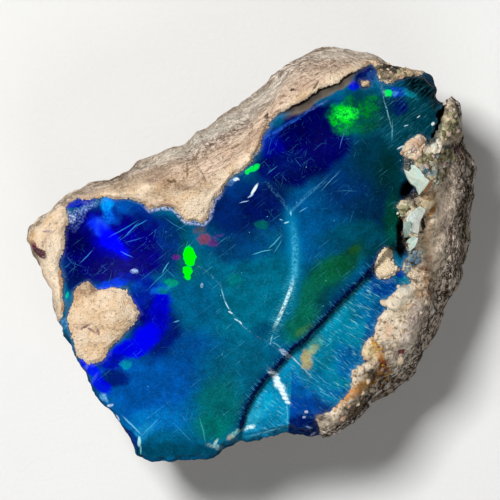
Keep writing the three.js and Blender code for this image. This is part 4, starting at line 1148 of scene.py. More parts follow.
# the brightest flashes, then frost, scratches and glints on the break
FROST = patches_of(
    # the brightest flashes
    (-19.3, 2.1, 2.66, 0.98, -45, 1.3, "0000FF", 0.95),
    (-19.7, 6.7, 0.84, 1.12, 0, 0.9, "0098FF", 0.95, 0.45),
    (-19.5, 5.1, 0.7, 0.98, 0, 1.1, "0070F0", 0.8, 0.7), (-14.2, -11.7, 1.96, 1.54, 45, 0.8, "0000DC"),
    (13.7, 19.3, 1.54, 0.84, 0, 0.7, "18FF38", 1, 0.8), (-8.2, -0.5, 0.78, 1.33, 0, 0.25, "00F600"),
    (-8.5, -2.8, 0.59, 0.91, 0, 0.3, "00EE08"), (0.4, 11.6, 0.98, 0.45, 30, 0.4, "00DC46", 1, 0.2),
    (19.4, 22.2, 0.62, 0.5, 0, 0.5, "00E25A"),
    # frost of the west head
    (-23, 6, 2.24, 0.5, 30, 0.9, "88A4E8", 0.75, 0.9),
    (-23.7, 4.4, 1.4, 0.56, 60, 0.9, "6C8CE4", 0.5, 0.95),
    (-24.9, 4.9, 0.7, 0.91, 45, 0.8, "B8CCF4", 0.8, 0.85),
    (-21.5, 6.7, 1.82, 0.31, 15, 0.9, "6C8CD8", 0.35, 0.95),
    # threads of the west
    (-16, -2.6, 0.64, 0.32, 15, 0.5, "A4C4F0", 0.9, 0.75),
    (-16.3, 3.2, 1.26, 0.06, 45, 0.8, "3C8CE8", 0.75), (-15.1, 4, 0.98, 0.05, 30, 0.8, "2C9CE0", 0.75),
    (-16, 1.8, 1.12, 0.05, 15, 0.8, "3470D8", 0.6), (-17, -0.2, 0.84, 0.05, -30, 0.8, "4C90F0", 0.7),
    (-22.6, -0.6, 0.06, 1.12, -45, 0.8, "3E88D8", 0.7), (-10.2, 3.9, 1.68, 0.05, -30, 0.8, "3484BC", 0.6),
    (-9, 3.7, 1.26, 0.05, 30, 0.8, "2C7CB8", 0.55), (-11.6, -2.1, 0.84, 0.07, 60, 0.7, "4CB4D8", 0.7),
    (-12.4, -3.5, 2.1, 0.05, 45, 0.9, "3094C0", 0.6), (-10.9, -2.8, 1.12, 0.05, -45, 0.9, "2C9CB8", 0.5),
    (-18.3, 2.8, 1.26, 0.06, 30, 0.8, "3C64F8", 0.6), (-16.9, 3.6, 1.68, 0.06, 30, 0.8, "1E90C8", 0.6),
    # white marks under the rind
    (0.8, 8.8, 0.2, 0.9, -30, 0.6, "D8E6F0", 0.95), (0.3, 7.9, 0.1, 0.42, -60, 0.6, "A8C8E8", 0.8),
    (-0.6, 7.1, 0.63, 0.07, 15, 0.6, "9CC0E4", 0.8), (-1.8, 10.2, 0.39, 0.28, 0, 0.5, "D4E4F4", 0.95),
    (-2.5, 10.2, 0.7, 0.7, -45, 0.9, "6C9CD0", 0.6, 0.7),
    # scratches and frost along the rim
    (19.3, 19.7, 0.08, 2.38, 15, 0.7, "7CB8C8", 0.8, 0.75),
    (20, 17, 0.08, 1.26, 0, 0.8, "74B8C8", 0.6, 0.4),
    (1.2, 14.4, 0.84, 0.31, 60, 0.9, "B8C0DC", 0.7, 0.5),
    (18.7, 22.5, 0.27, 0.84, 15, 0.9, "6C98BC", 0.5, 0.9),
    # scratches and dots of the east
    (13, 15.8, 0.06, 1.26, -15, 0.8, "3C78B4", 0.7), (8.6, 8.2, 3.64, 0.05, 45, 0.9, "3C90C0", 0.5),
    (11.4, 10, 1.68, 0.05, 45, 0.9, "5CB0D8", 0.55), (13.5, 8.6, 1.4, 0.05, 0, 0.9, "3484A8", 0.45),
    (25.7, 18, 0.28, 0.22, 30, 0.4, "E4F0F0", 0.95), (23.7, 19, 0.28, 0.07, 30, 0.4, "C8E4E8", 0.9),
    (21.9, 17.7, 0.31, 0.08, 15, 0.5, "B0D8DC", 0.85), (21.1, 14.7, 0.56, 0.1, 30, 0.5, "D8ECF0", 0.8),
    # glints round the crack and the south
    (-2.5, -8.3, 0.31, 0.1, -30, 0.6, "DCEFF8", 0.95, 0.4),
    (-3, -7.3, 0.08, 0.63, 30, 0.6, "9CD8E8", 0.85), (-3.6, -5.8, 0.07, 0.7, 15, 0.8, "70C0D8", 0.7),
    (-1.1, -9.7, 0.31, 0.08, -45, 0.6, "D4ECF4", 0.9, 0.4),
    (-1.6, -9.4, 0.42, 0.08, -30, 0.7, "A8DCE8", 0.8), (-6.5, -4.5, 0.2, 0.34, 0, 0.6, "A8D8E8", 0.8, 0.7),
    (-19.4, -21.3, 0.34, 0.25, 0, 0.6, "D0E8FC", 0.9, 0.6),
    (-18.3, -23.1, 0.18, 0.5, 30, 0.6, "D0E8F8", 0.9),
    # the fan's painted highlight: its glow, bars and edge
    (4.4, -18.7, 2.38, 0.45, -60, 0.9, "D0F2FA", 0.8, 0.5),
    (3.5, -16.8, 0.64, 0.21, -15, 0.7, "F2FCFF", 0.75, 0.3),
    (3.8, -17.4, 0.61, 0.21, -15, 0.7, "F2FCFF", 0.75, 0.3),
    (4, -18, 0.57, 0.21, -15, 0.7, "F2FCFF", 0.75, 0.3),
    (4.3, -18.5, 0.54, 0.21, -15, 0.7, "F2FCFF", 0.75, 0.3),
    (4.6, -19.1, 0.5, 0.21, -15, 0.7, "F2FCFF", 0.75, 0.3),
    (4.9, -19.7, 0.47, 0.21, -15, 0.7, "F2FCFF", 0.75, 0.3),
    (5.2, -20.3, 0.43, 0.21, -15, 0.7, "F2FCFF", 0.75, 0.3),
    (5.5, -20.9, 0.4, 0.21, -15, 0.7, "F2FCFF", 0.75, 0.3),
    (0.1, -24.4, 0.77, 0.36, 15, 0.9, "D8F4F4", 0.8, 0.7),
    (2.2, -25.1, 2.52, 0.1, 15, 0.9, "7CD0E4", 0.5, 0.7),
    (5.4, -21.5, 0.08, 2.8, 0, 0.8, "58B8D0", 0.6, 0.5),
    # the seam of the wedge and the foot of the crest
    (5, -13.9, 0.84, 0.42, -45, 0.7, "A8C0D8", 0.85, 0.75),
    (6.4, -14.9, 1.26, 0.1, -45, 0.6, "A8C8D0", 0.8, 0.4),
    (8.1, -16.6, 1.12, 0.08, -45, 0.7, "8CB8C8", 0.7, 0.4),
    (3.2, -12.1, 0.07, 0.7, -15, 0.6, "98CCD4", 0.6, 0.4),
    (3.9, -12.8, 0.7, 0.07, -30, 0.6, "80BCC8", 0.6, 0.4),
    (3.9, -11.8, 0.56, 0.06, 30, 0.7, "68B0C0", 0.5, 0.4),
    # arcs, spots and lines by the crest's arms
    (1.9, 0.1, 1.4, 0.07, 15, 0.6, "48B0C0", 0.8, 0.2), (3.7, 1.5, 1.26, 0.07, 45, 0.6, "50B4C4", 0.8, 0.2),
    (4.1, 0.9, 0.98, 0.06, 60, 0.6, "40A4B8", 0.7, 0.2), (5.3, 4.2, 0.34, 0.1, 15, 0.5, "A0E0F0", 0.9, 0.3),
    (4.5, 4.6, 0.22, 0.08, -15, 0.5, "80CCDC", 0.85, 0.3),
    (5.9, 5.4, 0.1, 0.34, 0, 0.5, "78C8E8", 0.9, 0.3), (6.7, 6.5, 1.68, 0.07, 45, 0.6, "409CD0", 0.55, 0.3),
    (7.6, 6, 0.63, 0.06, 30, 0.6, "60B8E0", 0.8, 0.3),
    # scratches, curls and frost of the south
    (-10, -9.6, 0.42, 0.09, 15, 0.6, "50A8D8", 0.7), (-6.4, -24.8, 0.08, 1.68, 15, 0.9, "40A8A4", 0.45),
    (-9.2, -25.1, 0.07, 1.68, 45, 0.9, "3494BC", 0.4), (-13.8, -24.4, 1.68, 0.07, 45, 0.9, "4CB4D8", 0.45),
    (-16.3, -24.1, 0.1, 1.68, 45, 0.8, "78C4E4", 0.6), (-15.3, -26.4, 0.22, 0.7, 0, 0.6, "A8E8E8", 0.8),
    (-15.1, -27.6, 0.1, 0.7, 0, 0.6, "7CD0C8", 0.7), (-15.6, -28.5, 0.56, 0.09, -15, 0.6, "58A8A8", 0.7),
    (-4.6, -27.1, 1.26, 0.34, -15, 0.8, "A0D0CC", 0.5, 0.7),
    (-4.6, -26.6, 0.2, 0.7, -30, 0.7, "B0D8D8", 0.75, 0.3),
    (-2.5, -25.8, 0.63, 0.39, 45, 0.7, "A8A48C", 0.7, 0.3),
    (-1.6, -25.1, 0.84, 0.28, 30, 0.8, "8CC8C0", 0.6, 0.5),
    # sparks on the west edge
    (-22.8, -16.1, 0.28, 0.7, -45, 0.7, "8098E8", 0.35, 0.7),
    (-21.5, -17.5, 0.24, 0.84, -30, 0.8, "5070E0", 0.35, 0.7),
    (-20.2, -20.3, 0.7, 0.42, -45, 0.8, "7CC4F0", 0.7, 0.6),
    (-25.8, -10.1, 0.56, 1.26, -30, 0.8, "5C98D0", 0.5, 0.8),
)
# stains, marks and pits of the rind
RIND_STAINS = patches_of(
    # the west tip and arm
    (-29.2, 0.1, 1.54, 0.5, -45, 0.5, "46082A", 0.95),
    (-30, 1.2, 0.63, 0.45, -45, 0.5, "7C1840", 0.9, 0.3),
    (-27.8, 3, 0.84, 0.18, 0, 0.6, "8C7088", 0.75), (-28.4, 1.6, 0.98, 0.14, 60, 0.8, "A88494", 0.55),
    (-27, -1.3, 1.26, 4.76, 0, 0.8, "F8E4C8", 0.85), (-30.3, 2.2, 0.56, 1.12, -15, 0.9, "EBB877", 0.6),
    (-26.1, -3.4, 0.36, 2.38, 0, 0.8, "B57845", 0.85, 0.3),
    (-25.6, -7.2, 0.36, 1.12, -15, 0.8, "A87A5C", 0.7, 0.3),
    (-25.6, 6.7, 0.56, 0.56, 0, 0.7, "5E3C40", 0.75, 0.3),
    # the island
    (-22.5, -4.9, 1.68, 1.12, 0, 0.8, "86644C", 0.85, 0.5),
    (-24.3, -5.9, 0.98, 0.98, 0, 0.8, "B98D66", 0.8, 0.5), (-19.7, -4.7, 1.4, 0.42, 0, 0.8, "D9B48C", 0.5),
    (-22.8, -10.3, 0.84, 0.17, 30, 0.6, "744C60", 0.85, 0.3),
    (-21.9, -10.8, 0.7, 0.17, -30, 0.6, "74506A", 0.85, 0.3),
    (-20.9, -11, 0.2, 0.56, 15, 0.7, "8C6A70", 0.8), (-20.2, -8.3, 0.84, 0.22, 15, 0.7, "BFA07C", 0.6),
    (-24.3, -10.7, 0.7, 0.84, 0, 0.9, "DDB593", 0.6), (-16.9, -7, 0.42, 0.28, 0, 0.8, "D6A878", 0.6),
    # cracks, pits and marks of the skin, with painted shade darkening the pits
    (-8.5, 11.6, 0.18, 1.12, 0, 0.6, "6B4C1E", 0.85, 0.3), (-10.7, 9.9, 0.7, 0.28, 0, 0.5, "2A1A12", 0.95),
    (-9.2, 9.2, 1.26, 0.42, -15, 0.8, "6E5440", 0.8, 0.5),
    (-11.3, 9.2, 0.56, 0.42, 45, 0.8, "8A6E56", 0.7, 0.5),
    (-6.2, 15.4, 0.7, 0.28, 30, 0.6, "75584E", 0.8, 0.3), (-5, 15.1, 0.36, 0.22, 0, 0.6, "6E524A", 0.8),
    (-7.5, 13, 0.28, 0.56, -15, 0.7, "86683C", 0.7, 0.4),
    (-13.5, 9.9, 0.7, 0.56, -45, 0.8, "94786E", 0.65, 0.5),
    (-1.8, 14.8, 0.84, 0.17, 30, 0.6, "7A6244", 0.75), (-1.2, 14, 0.84, 0.13, 45, 0.8, "8C7A60", 0.6),
    (6.1, 22.6, 0.34, 0.18, 15, 0.5, "36271C", 0.9), (9.3, 23.2, 0.17, 0.84, -30, 0.6, "4E3A28", 0.8),
    (2.6, 19, 0.31, 0.39, 0, 0.5, "38251C", 0.9), (-13.8, 6.7, 0.84, 0.28, -30, 0.9, "D9A07C", 0.55, 0.3),
    (-12, 7, 1.26, 0.25, 0, 0.7, "C08A78", 0.6, 0.3),
    (-11, 6.5, 0.84, 0.18, -30, 0.7, "A86A50", 0.6, 0.3),
    (-6.8, 6.7, 3.08, 1.68, 30, 0.9, "F3E4CC", 0.55),
    # the dark patch at the end of the brow
    (19.5, 25.2, 1.96, 1.19, 0, 0.5, "2E2C2C", 0.95), (18.3, 24.7, 0.7, 0.84, 0, 0.6, "A89474", 0.9, 0.7),
    (19.5, 24.9, 0.7, 0.42, 0, 0.6, "B8A88C", 0.8, 0.6),
    (22.2, 24.9, 2.1, 0.63, 15, 0.6, "F0D0A8", 0.97, 0.25),
    (20, 26, 1.96, 0.22, -15, 0.6, "17161A", 0.9, 0.3),
    # the spike and the cluster below it
    (27.4, 18, 1.12, 2.1, 0, 0.8, "8E8E5C", 0.75, 0.5),
    (28.4, 20.5, 0.7, 1.4, -15, 0.8, "6C5A3E", 0.7, 0.5),
    (24.6, 13, 1.54, 0.84, 0, 0.8, "87875A", 0.7, 0.6),
    (26, 14.8, 1.26, 0.7, 45, 0.6, "E2DECE", 0.85, 0.3),
    (23.2, 14.8, 1.54, 1.12, 0, 0.7, "E0C2A2", 0.8, 0.4),
    (25.1, 15.6, 0.42, 0.84, -15, 0.7, "22424A", 0.9, 0.1),
    (25.6, 13.5, 0.84, 0.42, 15, 0.8, "5E6448", 0.85, 0.3),
    (27.2, 13, 1.4, 0.98, 0, 0.8, "A88C7C", 0.7, 0.6),
    (25, 11.6, 0.84, 0.98, 0, 0.7, "3E8090", 0.8, 0.6),
    (26.3, 10.5, 1.12, 1.26, 0, 0.8, "B4B4A0", 0.7, 0.5),
    # orange, resin, amber and rust by the slit
    (25, 9.2, 0.34, 1.26, -30, 0.5, "D8824E", 0.9, 0.2),
    (25.1, 7.7, 1.12, 0.7, 0, 0.7, "8C7440", 0.8, 0.3), (21.5, 6.1, 1.54, 0.84, 0, 0.6, "D4C8AA", 0.8, 0.3),
    (25.6, 5.7, 0.28, 1.12, -30, 0.6, "A66A10", 0.9), (24.7, 1.5, 0.31, 0.84, 0, 0.7, "A9792C", 0.85),
    (25.4, -0.7, 0.36, 0.48, 0, 0.6, "BE4A28", 0.85, 0.2),
    (24.4, -2.1, 0.48, 0.28, 0, 0.6, "74301C", 0.85, 0.2),
    (25, -2.7, 0.7, 1.68, 0, 0.9, "D08C50", 0.6, 0.3),
    # veins of the right flank, cream that is painted light lifting its slope where it faces away from the
    # lamp, and painted shade along its outer edge and in a crevice
    (25.3, 2.6, 0.25, 1.68, 0, 0.8, "B06830", 0.8, 0.3),
    (25.7, -1.3, 0.27, 1.96, 0, 0.8, "9C5030", 0.8, 0.3),
    (25.3, -5.5, 0.31, 1.68, 15, 0.8, "C08048", 0.75, 0.3),
    (26.5, -1.3, 1.12, 3.64, 0, 0.9, "FFEAD0", 0.85, 0.35),
    (27.5, 5.6, 1.12, 3.64, 0, 0.9, "FFE8D0", 0.8, 0.35),
    (29.2, 3.5, 0.42, 5.04, 0, 0.9, "30221A", 0.8, 0.8),
    (27.9, -5.2, 0.42, 3.64, 15, 0.9, "4A3428", 0.7, 0.8),
    (22.5, -0.7, 1.12, 1.54, 45, 0.8, "2C4454", 0.85, 0.4),
    (21.6, -4.9, 0.84, 0.7, 0, 0.8, "5C7480", 0.75, 0.4),
    (24.6, -0.3, 0.7, 1.68, 0, 0.9, "F8E6CC", 0.8, 0.3), (28.5, 6.7, 1.4, 7.7, 0, 0.9, "B8A698", 0.5, 0.3),
    (30.3, 9.1, 1.12, 8.4, 0, 0.9, "44362C", 0.85, 0.35),
    (23.2, -10.1, 1.26, 3.64, -15, 0.9, "BCAAA6", 0.6, 0.3),
    # gold, amber and tan along the low edge
    (17.7, -13.2, 0.45, 1.26, 15, 0.6, "C98C14", 0.95), (18.6, -15, 0.42, 1.26, 15, 0.6, "B8620C", 0.95),
    (18.7, -16.4, 0.56, 1.12, -15, 0.6, "701008", 0.95, 0.1),
    (16.6, -18.2, 2.66, 0.77, 45, 0.7, "C88820", 0.95, 0.45),
    (14.2, -19.8, 1.96, 0.56, 30, 0.7, "C07C30", 0.85, 0.4),
    (13.4, -20.3, 2.1, 0.63, 45, 0.8, "D0955E", 0.75, 0.3),
    # painted shade on the tail, and painted light lifting the low flank's slope
    (15.2, -22, 3.08, 0.7, 45, 0.8, "2C2018", 0.85, 0.5),
    (14.1, -22.2, 2.52, 1.12, 45, 0.9, "5A4836", 0.75, 0.3),
    (10.2, -23, 0.84, 0.56, 0, 0.7, "2A2C34", 0.8, 0.3),
    (21.8, -14.2, 1.54, 3.36, -30, 0.9, "FFF0DC", 0.85, 0.3),
    (24, -10.5, 0.98, 2.8, -15, 0.9, "F0DCC8", 0.65, 0.4),
    (26, 16.6, 0.7, 1.96, -30, 0.7, "2C4440", 0.88, 0.25),
    # painted light on the north rim's outer slope, and a painted shade inside it
    (-5.5, 17.7, 10.92, 1.68, 30, 0.9, "FFF4E2", 0.66), (13.7, 27.8, 4.76, 0.84, 0, 0.9, "FFF0DC", 0.5),
    (-12.4, 13.5, 3.36, 0.84, 15, 0.9, "FFEED8", 0.6), (-10.7, 9.3, 3.64, 1.4, 30, 0.9, "A4845E", 0.5, 0.3),
    # spots of the low rind and the islet
    (21.5, -13.9, 0.56, 0.28, 45, 0.6, "A6352C", 0.85),
    (19.5, -10.8, 0.56, 0.98, 0, 0.9, "DCA274", 0.65, 0.3),
    (21.5, -7.6, 0.84, 0.42, 30, 0.8, "C99A5A", 0.7, 0.3),
    (24, -5.6, 0.84, 0.98, 0, 0.9, "D6A070", 0.6, 0.4),
    (17.3, -17.1, 0.7, 0.98, 0, 0.6, "24302E", 0.92, 0.3),
    (19.5, -1.3, 1.68, 1.96, 0, 0.5, "EAD6B4", 0.85, 0.15),
    # flaws of the right side, and painted shade in its voids and gaps
    (29.3, 14.4, 0.56, 0.84, 0, 0.6, "4A2430", 0.85, 0.2),
    (28.4, 2.5, 0.25, 1.4, 0, 0.6, "5C2C34", 0.8, 0.2), (25, 11.3, 0.63, 0.7, 0, 0.5, "2E7890", 0.9, 0.5),
    (27.8, 14.8, 0.7, 0.42, 0, 0.5, "0E4A5C", 0.9, 0.3),
    (27, 13.3, 0.56, 0.35, 45, 0.6, "A0603C", 0.8, 0.4),
    (26.8, 10.5, 0.42, 0.56, 0, 0.4, "E0E0D0", 0.95, 0.2), (24.3, 3.9, 0.25, 1.26, 15, 0.5, "120C0A", 0.97),
    (25, 1.4, 0.7, 1.96, 0, 0.8, "DCC4A4", 0.9, 0.3),
    (22.2, 12.4, 0.98, 0.98, 45, 0.6, "14303C", 0.97, 0.15),
    (26, 15.9, 0.36, 0.84, -30, 0.7, "244450", 0.85, 0.4),
    (22.5, 8.6, 1.26, 1.54, 45, 0.6, "040612", 0.97), (23.6, 6.8, 0.63, 0.63, 0, 0.6, "544E38", 0.9, 0.3),
    (21.9, 1.9, 0.42, 2.8, 0, 0.7, "0A0C0C", 0.95, 0.1),
    # flakes by the slit, shade of the north rim and pale knobs
    (21.4, 10.5, 0.56, 0.7, 0, 0.8, "3C322C", 0.8, 0.5),
    (25.4, 7.9, 0.84, 0.56, 45, 0.7, "98785C", 0.7, 0.4),
    (24.7, 6.8, 0.56, 0.49, 45, 0.6, "DCC498", 0.8, 0.2),
    (-14.9, 10.2, 5.04, 0.98, 15, 0.8, "907862", 0.75, 0.3),
    (-22.5, 8.2, 2.52, 0.63, 30, 0.8, "A8948C", 0.6, 0.3),
    (25.3, 6.8, 0.84, 0.56, 0, 0.6, "D8BC8C", 0.85, 0.2), (17.3, -13.9, 1.26, 1.12, 0, 0.9, "E6CB8E", 0.6),
    (20.9, -6.6, 2.52, 1.4, 30, 0.9, "EDE2CC", 0.6), (11.4, -23.6, 1.4, 0.7, 30, 0.9, "EAD9C4", 0.6),
)


class Bench:
    """A hand for laying shader nodes in one tree."""

    def __init__(self, tree: bpy.types.NodeTree) -> None:
        """Starts with an empty tree."""
        self.tree = tree
        self.tree.nodes.clear()

    def add(self, kind: str, **settings: object) -> bpy.types.Node:
        """Adds a node and sets its own settings."""
        node = self.tree.nodes.new(kind)
        for name, value in settings.items():
            setattr(node, name, value)
        return node

    def feed(self, socket: Socket, value: Feed) -> None:
        """Links a socket to another, or sets it to a plain value, where text is a colour's six digits."""
        if isinstance(value, bpy.types.NodeSocket):
            self.tree.links.new(value, socket)
        else:
            socket.default_value = tint(value) if isinstance(value, str) else value

    def fill(self, node: bpy.types.Node, values: dict[str, Feed]) -> None:
        """Feeds several sockets of a node by their names."""
        for name, value in values.items():
            self.feed(node.inputs[name], value)

    def math(self, operation: str, a: Feed, b: Feed = 0.0, c: Feed = 0.0) -> Socket:
        """One step of arithmetic on numbers."""
        node = self.add("ShaderNodeMath", operation=operation)
        for socket, value in zip(node.inputs, (a, b, c)):
            self.feed(socket, value)
        return node.outputs[0]

    def times(self, a: Feed, b: Feed) -> Socket:
        """The product of two numbers."""
        return self.math("MULTIPLY", a, b)

    def minus(self, a: Feed, b: Feed) -> Socket:
        """The first number less the second."""
        return self.math("SUBTRACT", a, b)

    def apart(self, a: Feed, b: Feed) -> Socket:
        """How far apart two numbers lie."""
        return self.math("ABSOLUTE", self.minus(a, b))

    def vector(self, operation: str, a: Feed, b: Feed = (0, 0, 0), c: Feed = (0, 0, 0)) -> Socket:
        """One step of arithmetic on vectors."""
        node = self.add("ShaderNodeVectorMath", operation=operation)
        for socket, value in zip(node.inputs, (a, b, c)):
            self.feed(socket, value)
        return node.outputs["Value" if operation in ("LENGTH", "DOT_PRODUCT") else "Vector"]

    def step(self, value: Feed, low: Feed, high: Feed, top: Feed = 1.0) -> Socket:
        """The smooth step from 0 at low to top at high; low may lie above high."""
        node = self.add("ShaderNodeMapRange", interpolation_type="SMOOTHSTEP", clamp=False)
        self.fill(node, {"Value": value, "From Min": low, "From Max": high, "To Max": top})
        return node.outputs[0]

    def blend(self, share: Feed, under: Feed, over: Feed, kind: str = "MIX") -> Socket:
        """Lays one colour over another."""
        node = self.add("ShaderNodeMix", data_type="RGBA", blend_type=kind, clamp_factor=True)
        for socket, value in ((node.inputs[0], share), (node.inputs[6], under), (node.inputs[7], over)):
            self.feed(socket, value)
        return node.outputs[2]

    def lerp(self, share: Feed, low: Feed, high: Feed) -> Socket:
        """A number between low (share 0) and high (share 1)."""
        node = self.add("ShaderNodeMix", data_type="FLOAT", clamp_factor=True)
        self.feed(node.inputs[0], share)
        self.feed(node.inputs[2], low)
        self.feed(node.inputs[3], high)
        return node.outputs[0]

    def noise(
        self, place: Socket, size: float, detail: float = 2, rough: float = 0.5, output: str = "Fac"
    ) -> Socket:
        """Cloudy noise with lumps of a size in mm."""
        node = self.add("ShaderNodeTexNoise", noise_dimensions="3D")
        self.fill(node, {"Vector": place, "Scale": 1 / size, "Detail": detail, "Roughness": rough})
        return node.outputs[output]

    def cells(self, place: Socket, size: float) -> bpy.types.Node:
        """Cells of a size in mm."""
        node = self.add("ShaderNodeTexVoronoi", feature="F1")
        self.fill(node, {"Vector": place, "Scale": 1 / size})
        return node

    def turned(
        self, place: Socket, centre: Pair, turn: float, along: float, across: float, high: float = 1
    ) -> Socket:
        """Places measured in a turned oval's axes, from its centre, in units of its half length and width."""
        node = self.add("ShaderNodeMapping", vector_type="TEXTURE")
        self.fill(node, {
            "Vector": place, "Location": (*centre, 0), "Rotation": (0, 0, math.radians(turn)),
            "Scale": (along, across, high),
        })
        return node.outputs[0]

    def value(self, name: str) -> Socket:
        """A number kept on the piece's points."""
        return self.add("ShaderNodeAttribute", attribute_name=name).outputs["Fac"]

    def values(self, *names: str) -> list[Socket]:
        """Several numbers kept on the piece's points."""
        return [self.value(name) for name in names]

    def place(self, shift: Triple = (0, 0, 0)) -> Socket:
        """Object coordinates in mm of the stone's own plan."""
        here = self.add("ShaderNodeTexCoord").outputs["Object"]
        return self.vector("MULTIPLY_ADD", here, (1 / MM,) * 3, tuple(-part for part in shift))


def new_material(name: str) -> tuple[bpy.types.Material, Bench]:
    """Starts a material with a bench for its nodes."""
    material = bpy.data.materials.new(name)
    material.use_nodes = True
    return material, Bench(material.node_tree)


def colour_patch(mottled: bool) -> bpy.types.NodeTree:
    """Builds the group that lays one oval of colour over another colour.

    The place is scaled and moved to the oval's centre, and its length is stepped to a share, of which a
    mottled patch loses some where the mottle is clear.
    """
    group = bpy.data.node_groups.new("mottled_patch" if mottled else "plain_patch", "ShaderNodeTree")
    sockets = {
        "Place": "Vector", "Scale": "Vector", "Centre": "Vector", "Outer": "Float", "Inner": "Float",
        "Strength": "Float", "Mottled": "Float", "Clear": "Float", "Under": "Color", "Over": "Color",
    }
    for name, kind in sockets.items():
        group.interface.new_socket(name, in_out="INPUT", socket_type=f"NodeSocket{kind}")
    group.interface.new_socket("Colour", in_out="OUTPUT", socket_type="NodeSocketColor")
    bench = Bench(group)
    given = bench.add("NodeGroupInput").outputs
    oval = bench.vector("MULTIPLY_ADD", given["Place"], given["Scale"], given["Centre"])
    share = bench.step(bench.vector("LENGTH", oval), given["Outer"], given["Inner"], given["Strength"])
    if mottled:
        lost = bench.times(share, given["Mottled"])
        share = bench.math("MULTIPLY_ADD", lost, given["Clear"], share)
    colour = bench.blend(share, given["Under"], given["Over"])
    bench.feed(bench.add("NodeGroupOutput").inputs["Colour"], colour)
    return group


@dataclass(frozen=True)
class Stroke:
    """A family of hairlines: direction in degrees, length and width in mm, level, strength and colour."""

    turn: float
    long: float
    wide: float
    above: float
    strength: float
    colour: str


@dataclass
class Grounds:
    """The places in one material that its patches and noises are measured from."""

    bench: Bench
    shift: Triple
    fine_wander: Pair = (1.8, 0.3)
    hair_wander: Pair = (0.3, 0.09)
    ragged_wander: Pair = (0.9, 0.8)
    broad_wander: Pair = (3.2, 2.2)
    mottle_size: float = 0.85
    sparkle_size: float = 0.3
    line_edge: float = 0.08
    line_shift: float = 3.7

    def __post_init__(self) -> None:
        """Lays the shared nodes: the place, its flat copies that wander by three amounts, and the mottle."""
        bench = self.bench
        self.place = bench.place(self.shift)
        flat = bench.vector("MULTIPLY", self.place, (1, 1, 0))
        self.fine = self.wander(self.wander(flat, *self.fine_wander), *self.hair_wander)
        self.ragged = self.wander(self.fine, *self.ragged_wander)
        self.broad = self.wander(self.fine, *self.broad_wander)
        self.mottle = bench.step(self.cloud(self.mottle_size, 4, 0.7), 0.45, 0.58)
        self.sparkle = bench.step(self.cloud(self.sparkle_size, 3, 0.7), 0.44, 0.6)
        self.turned_places: dict[tuple[Edge, float], Socket] = {}
        self.plain_patch, self.mottled_patch = colour_patch(False), colour_patch(True)

    def cloud(self, size: float, detail: float = 2, rough: float = 0.5) -> Socket:
        """Cloudy noise at the stone's own places, with lumps of a size in mm."""
        return self.bench.noise(self.place, size, detail, rough)

    def shaken(self, value: Socket, size: float, far: float) -> Socket:
        """A number moved up and down by a noise of a size in mm, up to about half of far each way."""
        off = self.bench.minus(self.cloud(size), 0.5)
        return self.bench.math("ADD", value, self.bench.times(off, far))

    def wander(self, place: Socket, size: float, far: float) -> Socket:
        """Moves places about in the plane by a noise of a size in mm, up to about half of far each way."""
        cloud = self.bench.noise(self.place, size, 1, output="Color")
        off = self.bench.vector("SUBTRACT", cloud, (0.5, 0.5, 0.5))
        return self.bench.vector("MULTIPLY_ADD", off, (far, far, 0), place)

    def along_turn(self, edge: Edge, turn: float) -> Socket:
        """The wandering places measured in axes turned by an angle in degrees, laid once for each angle."""
        key = (edge, turn % 180)
        if key not in self.turned_places:
            bench, a = self.bench, math.radians(turn % 180)
            place = {Edge.BROAD: self.broad, Edge.RAGGED: self.ragged, Edge.FINE: self.fine}[edge]
            axes = bench.add("ShaderNodeCombineXYZ")
            bench.feed(axes.inputs[0], bench.vector("DOT_PRODUCT", place, (math.cos(a), math.sin(a), 0)))
            bench.feed(axes.inputs[1], bench.vector("DOT_PRODUCT", place, (-math.sin(a), math.cos(a), 0)))
            self.turned_places[key] = axes.outputs[0]
        return self.turned_places[key]

    @staticmethod
    def oval(centre: Pair, turn: float, along: float, across: float) -> tuple[Triple, Triple]:
        """The scale and move that turn a place in an oval's axes into units of its half length and width."""
        a = math.radians(turn % 180)
        u = centre[0] * math.cos(a) + centre[1] * math.sin(a)
        v = centre[1] * math.cos(a) - centre[0] * math.sin(a)
        return (1 / along, 1 / across, 0), (-u / along, -v / across, 0)

    def reach(self, centre: Pair, turn: float, along: float, across: float) -> Socket:
        """The wandering distance from the centre of a turned oval, in units of its half length and width."""
        scale, move = self.oval(centre, turn, along, across)
        place = self.along_turn(Edge.BROAD, turn)
        return self.bench.vector("LENGTH", self.bench.vector("MULTIPLY_ADD", place, scale, move))

    def patches(self, colour: Feed, flashes: list[Flash], mottle: Socket | None = None) -> Socket:
        """Lays patches of colour over a colour, in order, with the broad mottle or one that is given."""
        bench = self.bench
        clear = bench.minus(mottle or self.mottle, 1.0)
        for flash in flashes:
            scale, move = self.oval((flash.x, flash.y), flash.turn, flash.along, flash.across)
            place = self.along_turn(flash.edge, flash.turn)
            group = self.mottled_patch if flash.mottled else self.plain_patch
            node = bench.add("ShaderNodeGroup", node_tree=group)
            bench.fill(node, {
                "Place": place, "Scale": scale, "Centre": move, "Outer": 1 + flash.soft / 2,
                "Inner": 1 - flash.soft / 2, "Strength": flash.strength, "Mottled": flash.mottled,
                "Clear": clear, "Under": colour, "Over": flash.colour,
            })
            colour = node.outputs[0]
        return colour

    def strokes(self, colour: Feed, strokes: tuple[Stroke, ...], where: Feed = 1.0) -> Socket:
        """Lays families of hairlines: noise drawn out along each direction, cut off below a level."""
        bench = self.bench
        for number, stroke in enumerate(strokes):
            start, high = (self.line_shift * number, 0), stroke.long * 4
            drawn = bench.turned(self.place, start, stroke.turn, stroke.long, stroke.wide, high)
            line = bench.noise(drawn, 1, 1)
            share = bench.step(line, stroke.above, stroke.above + self.line_edge, stroke.strength)
            colour = bench.blend(bench.times(share, where), colour, stroke.colour, "SCREEN")
        return colour

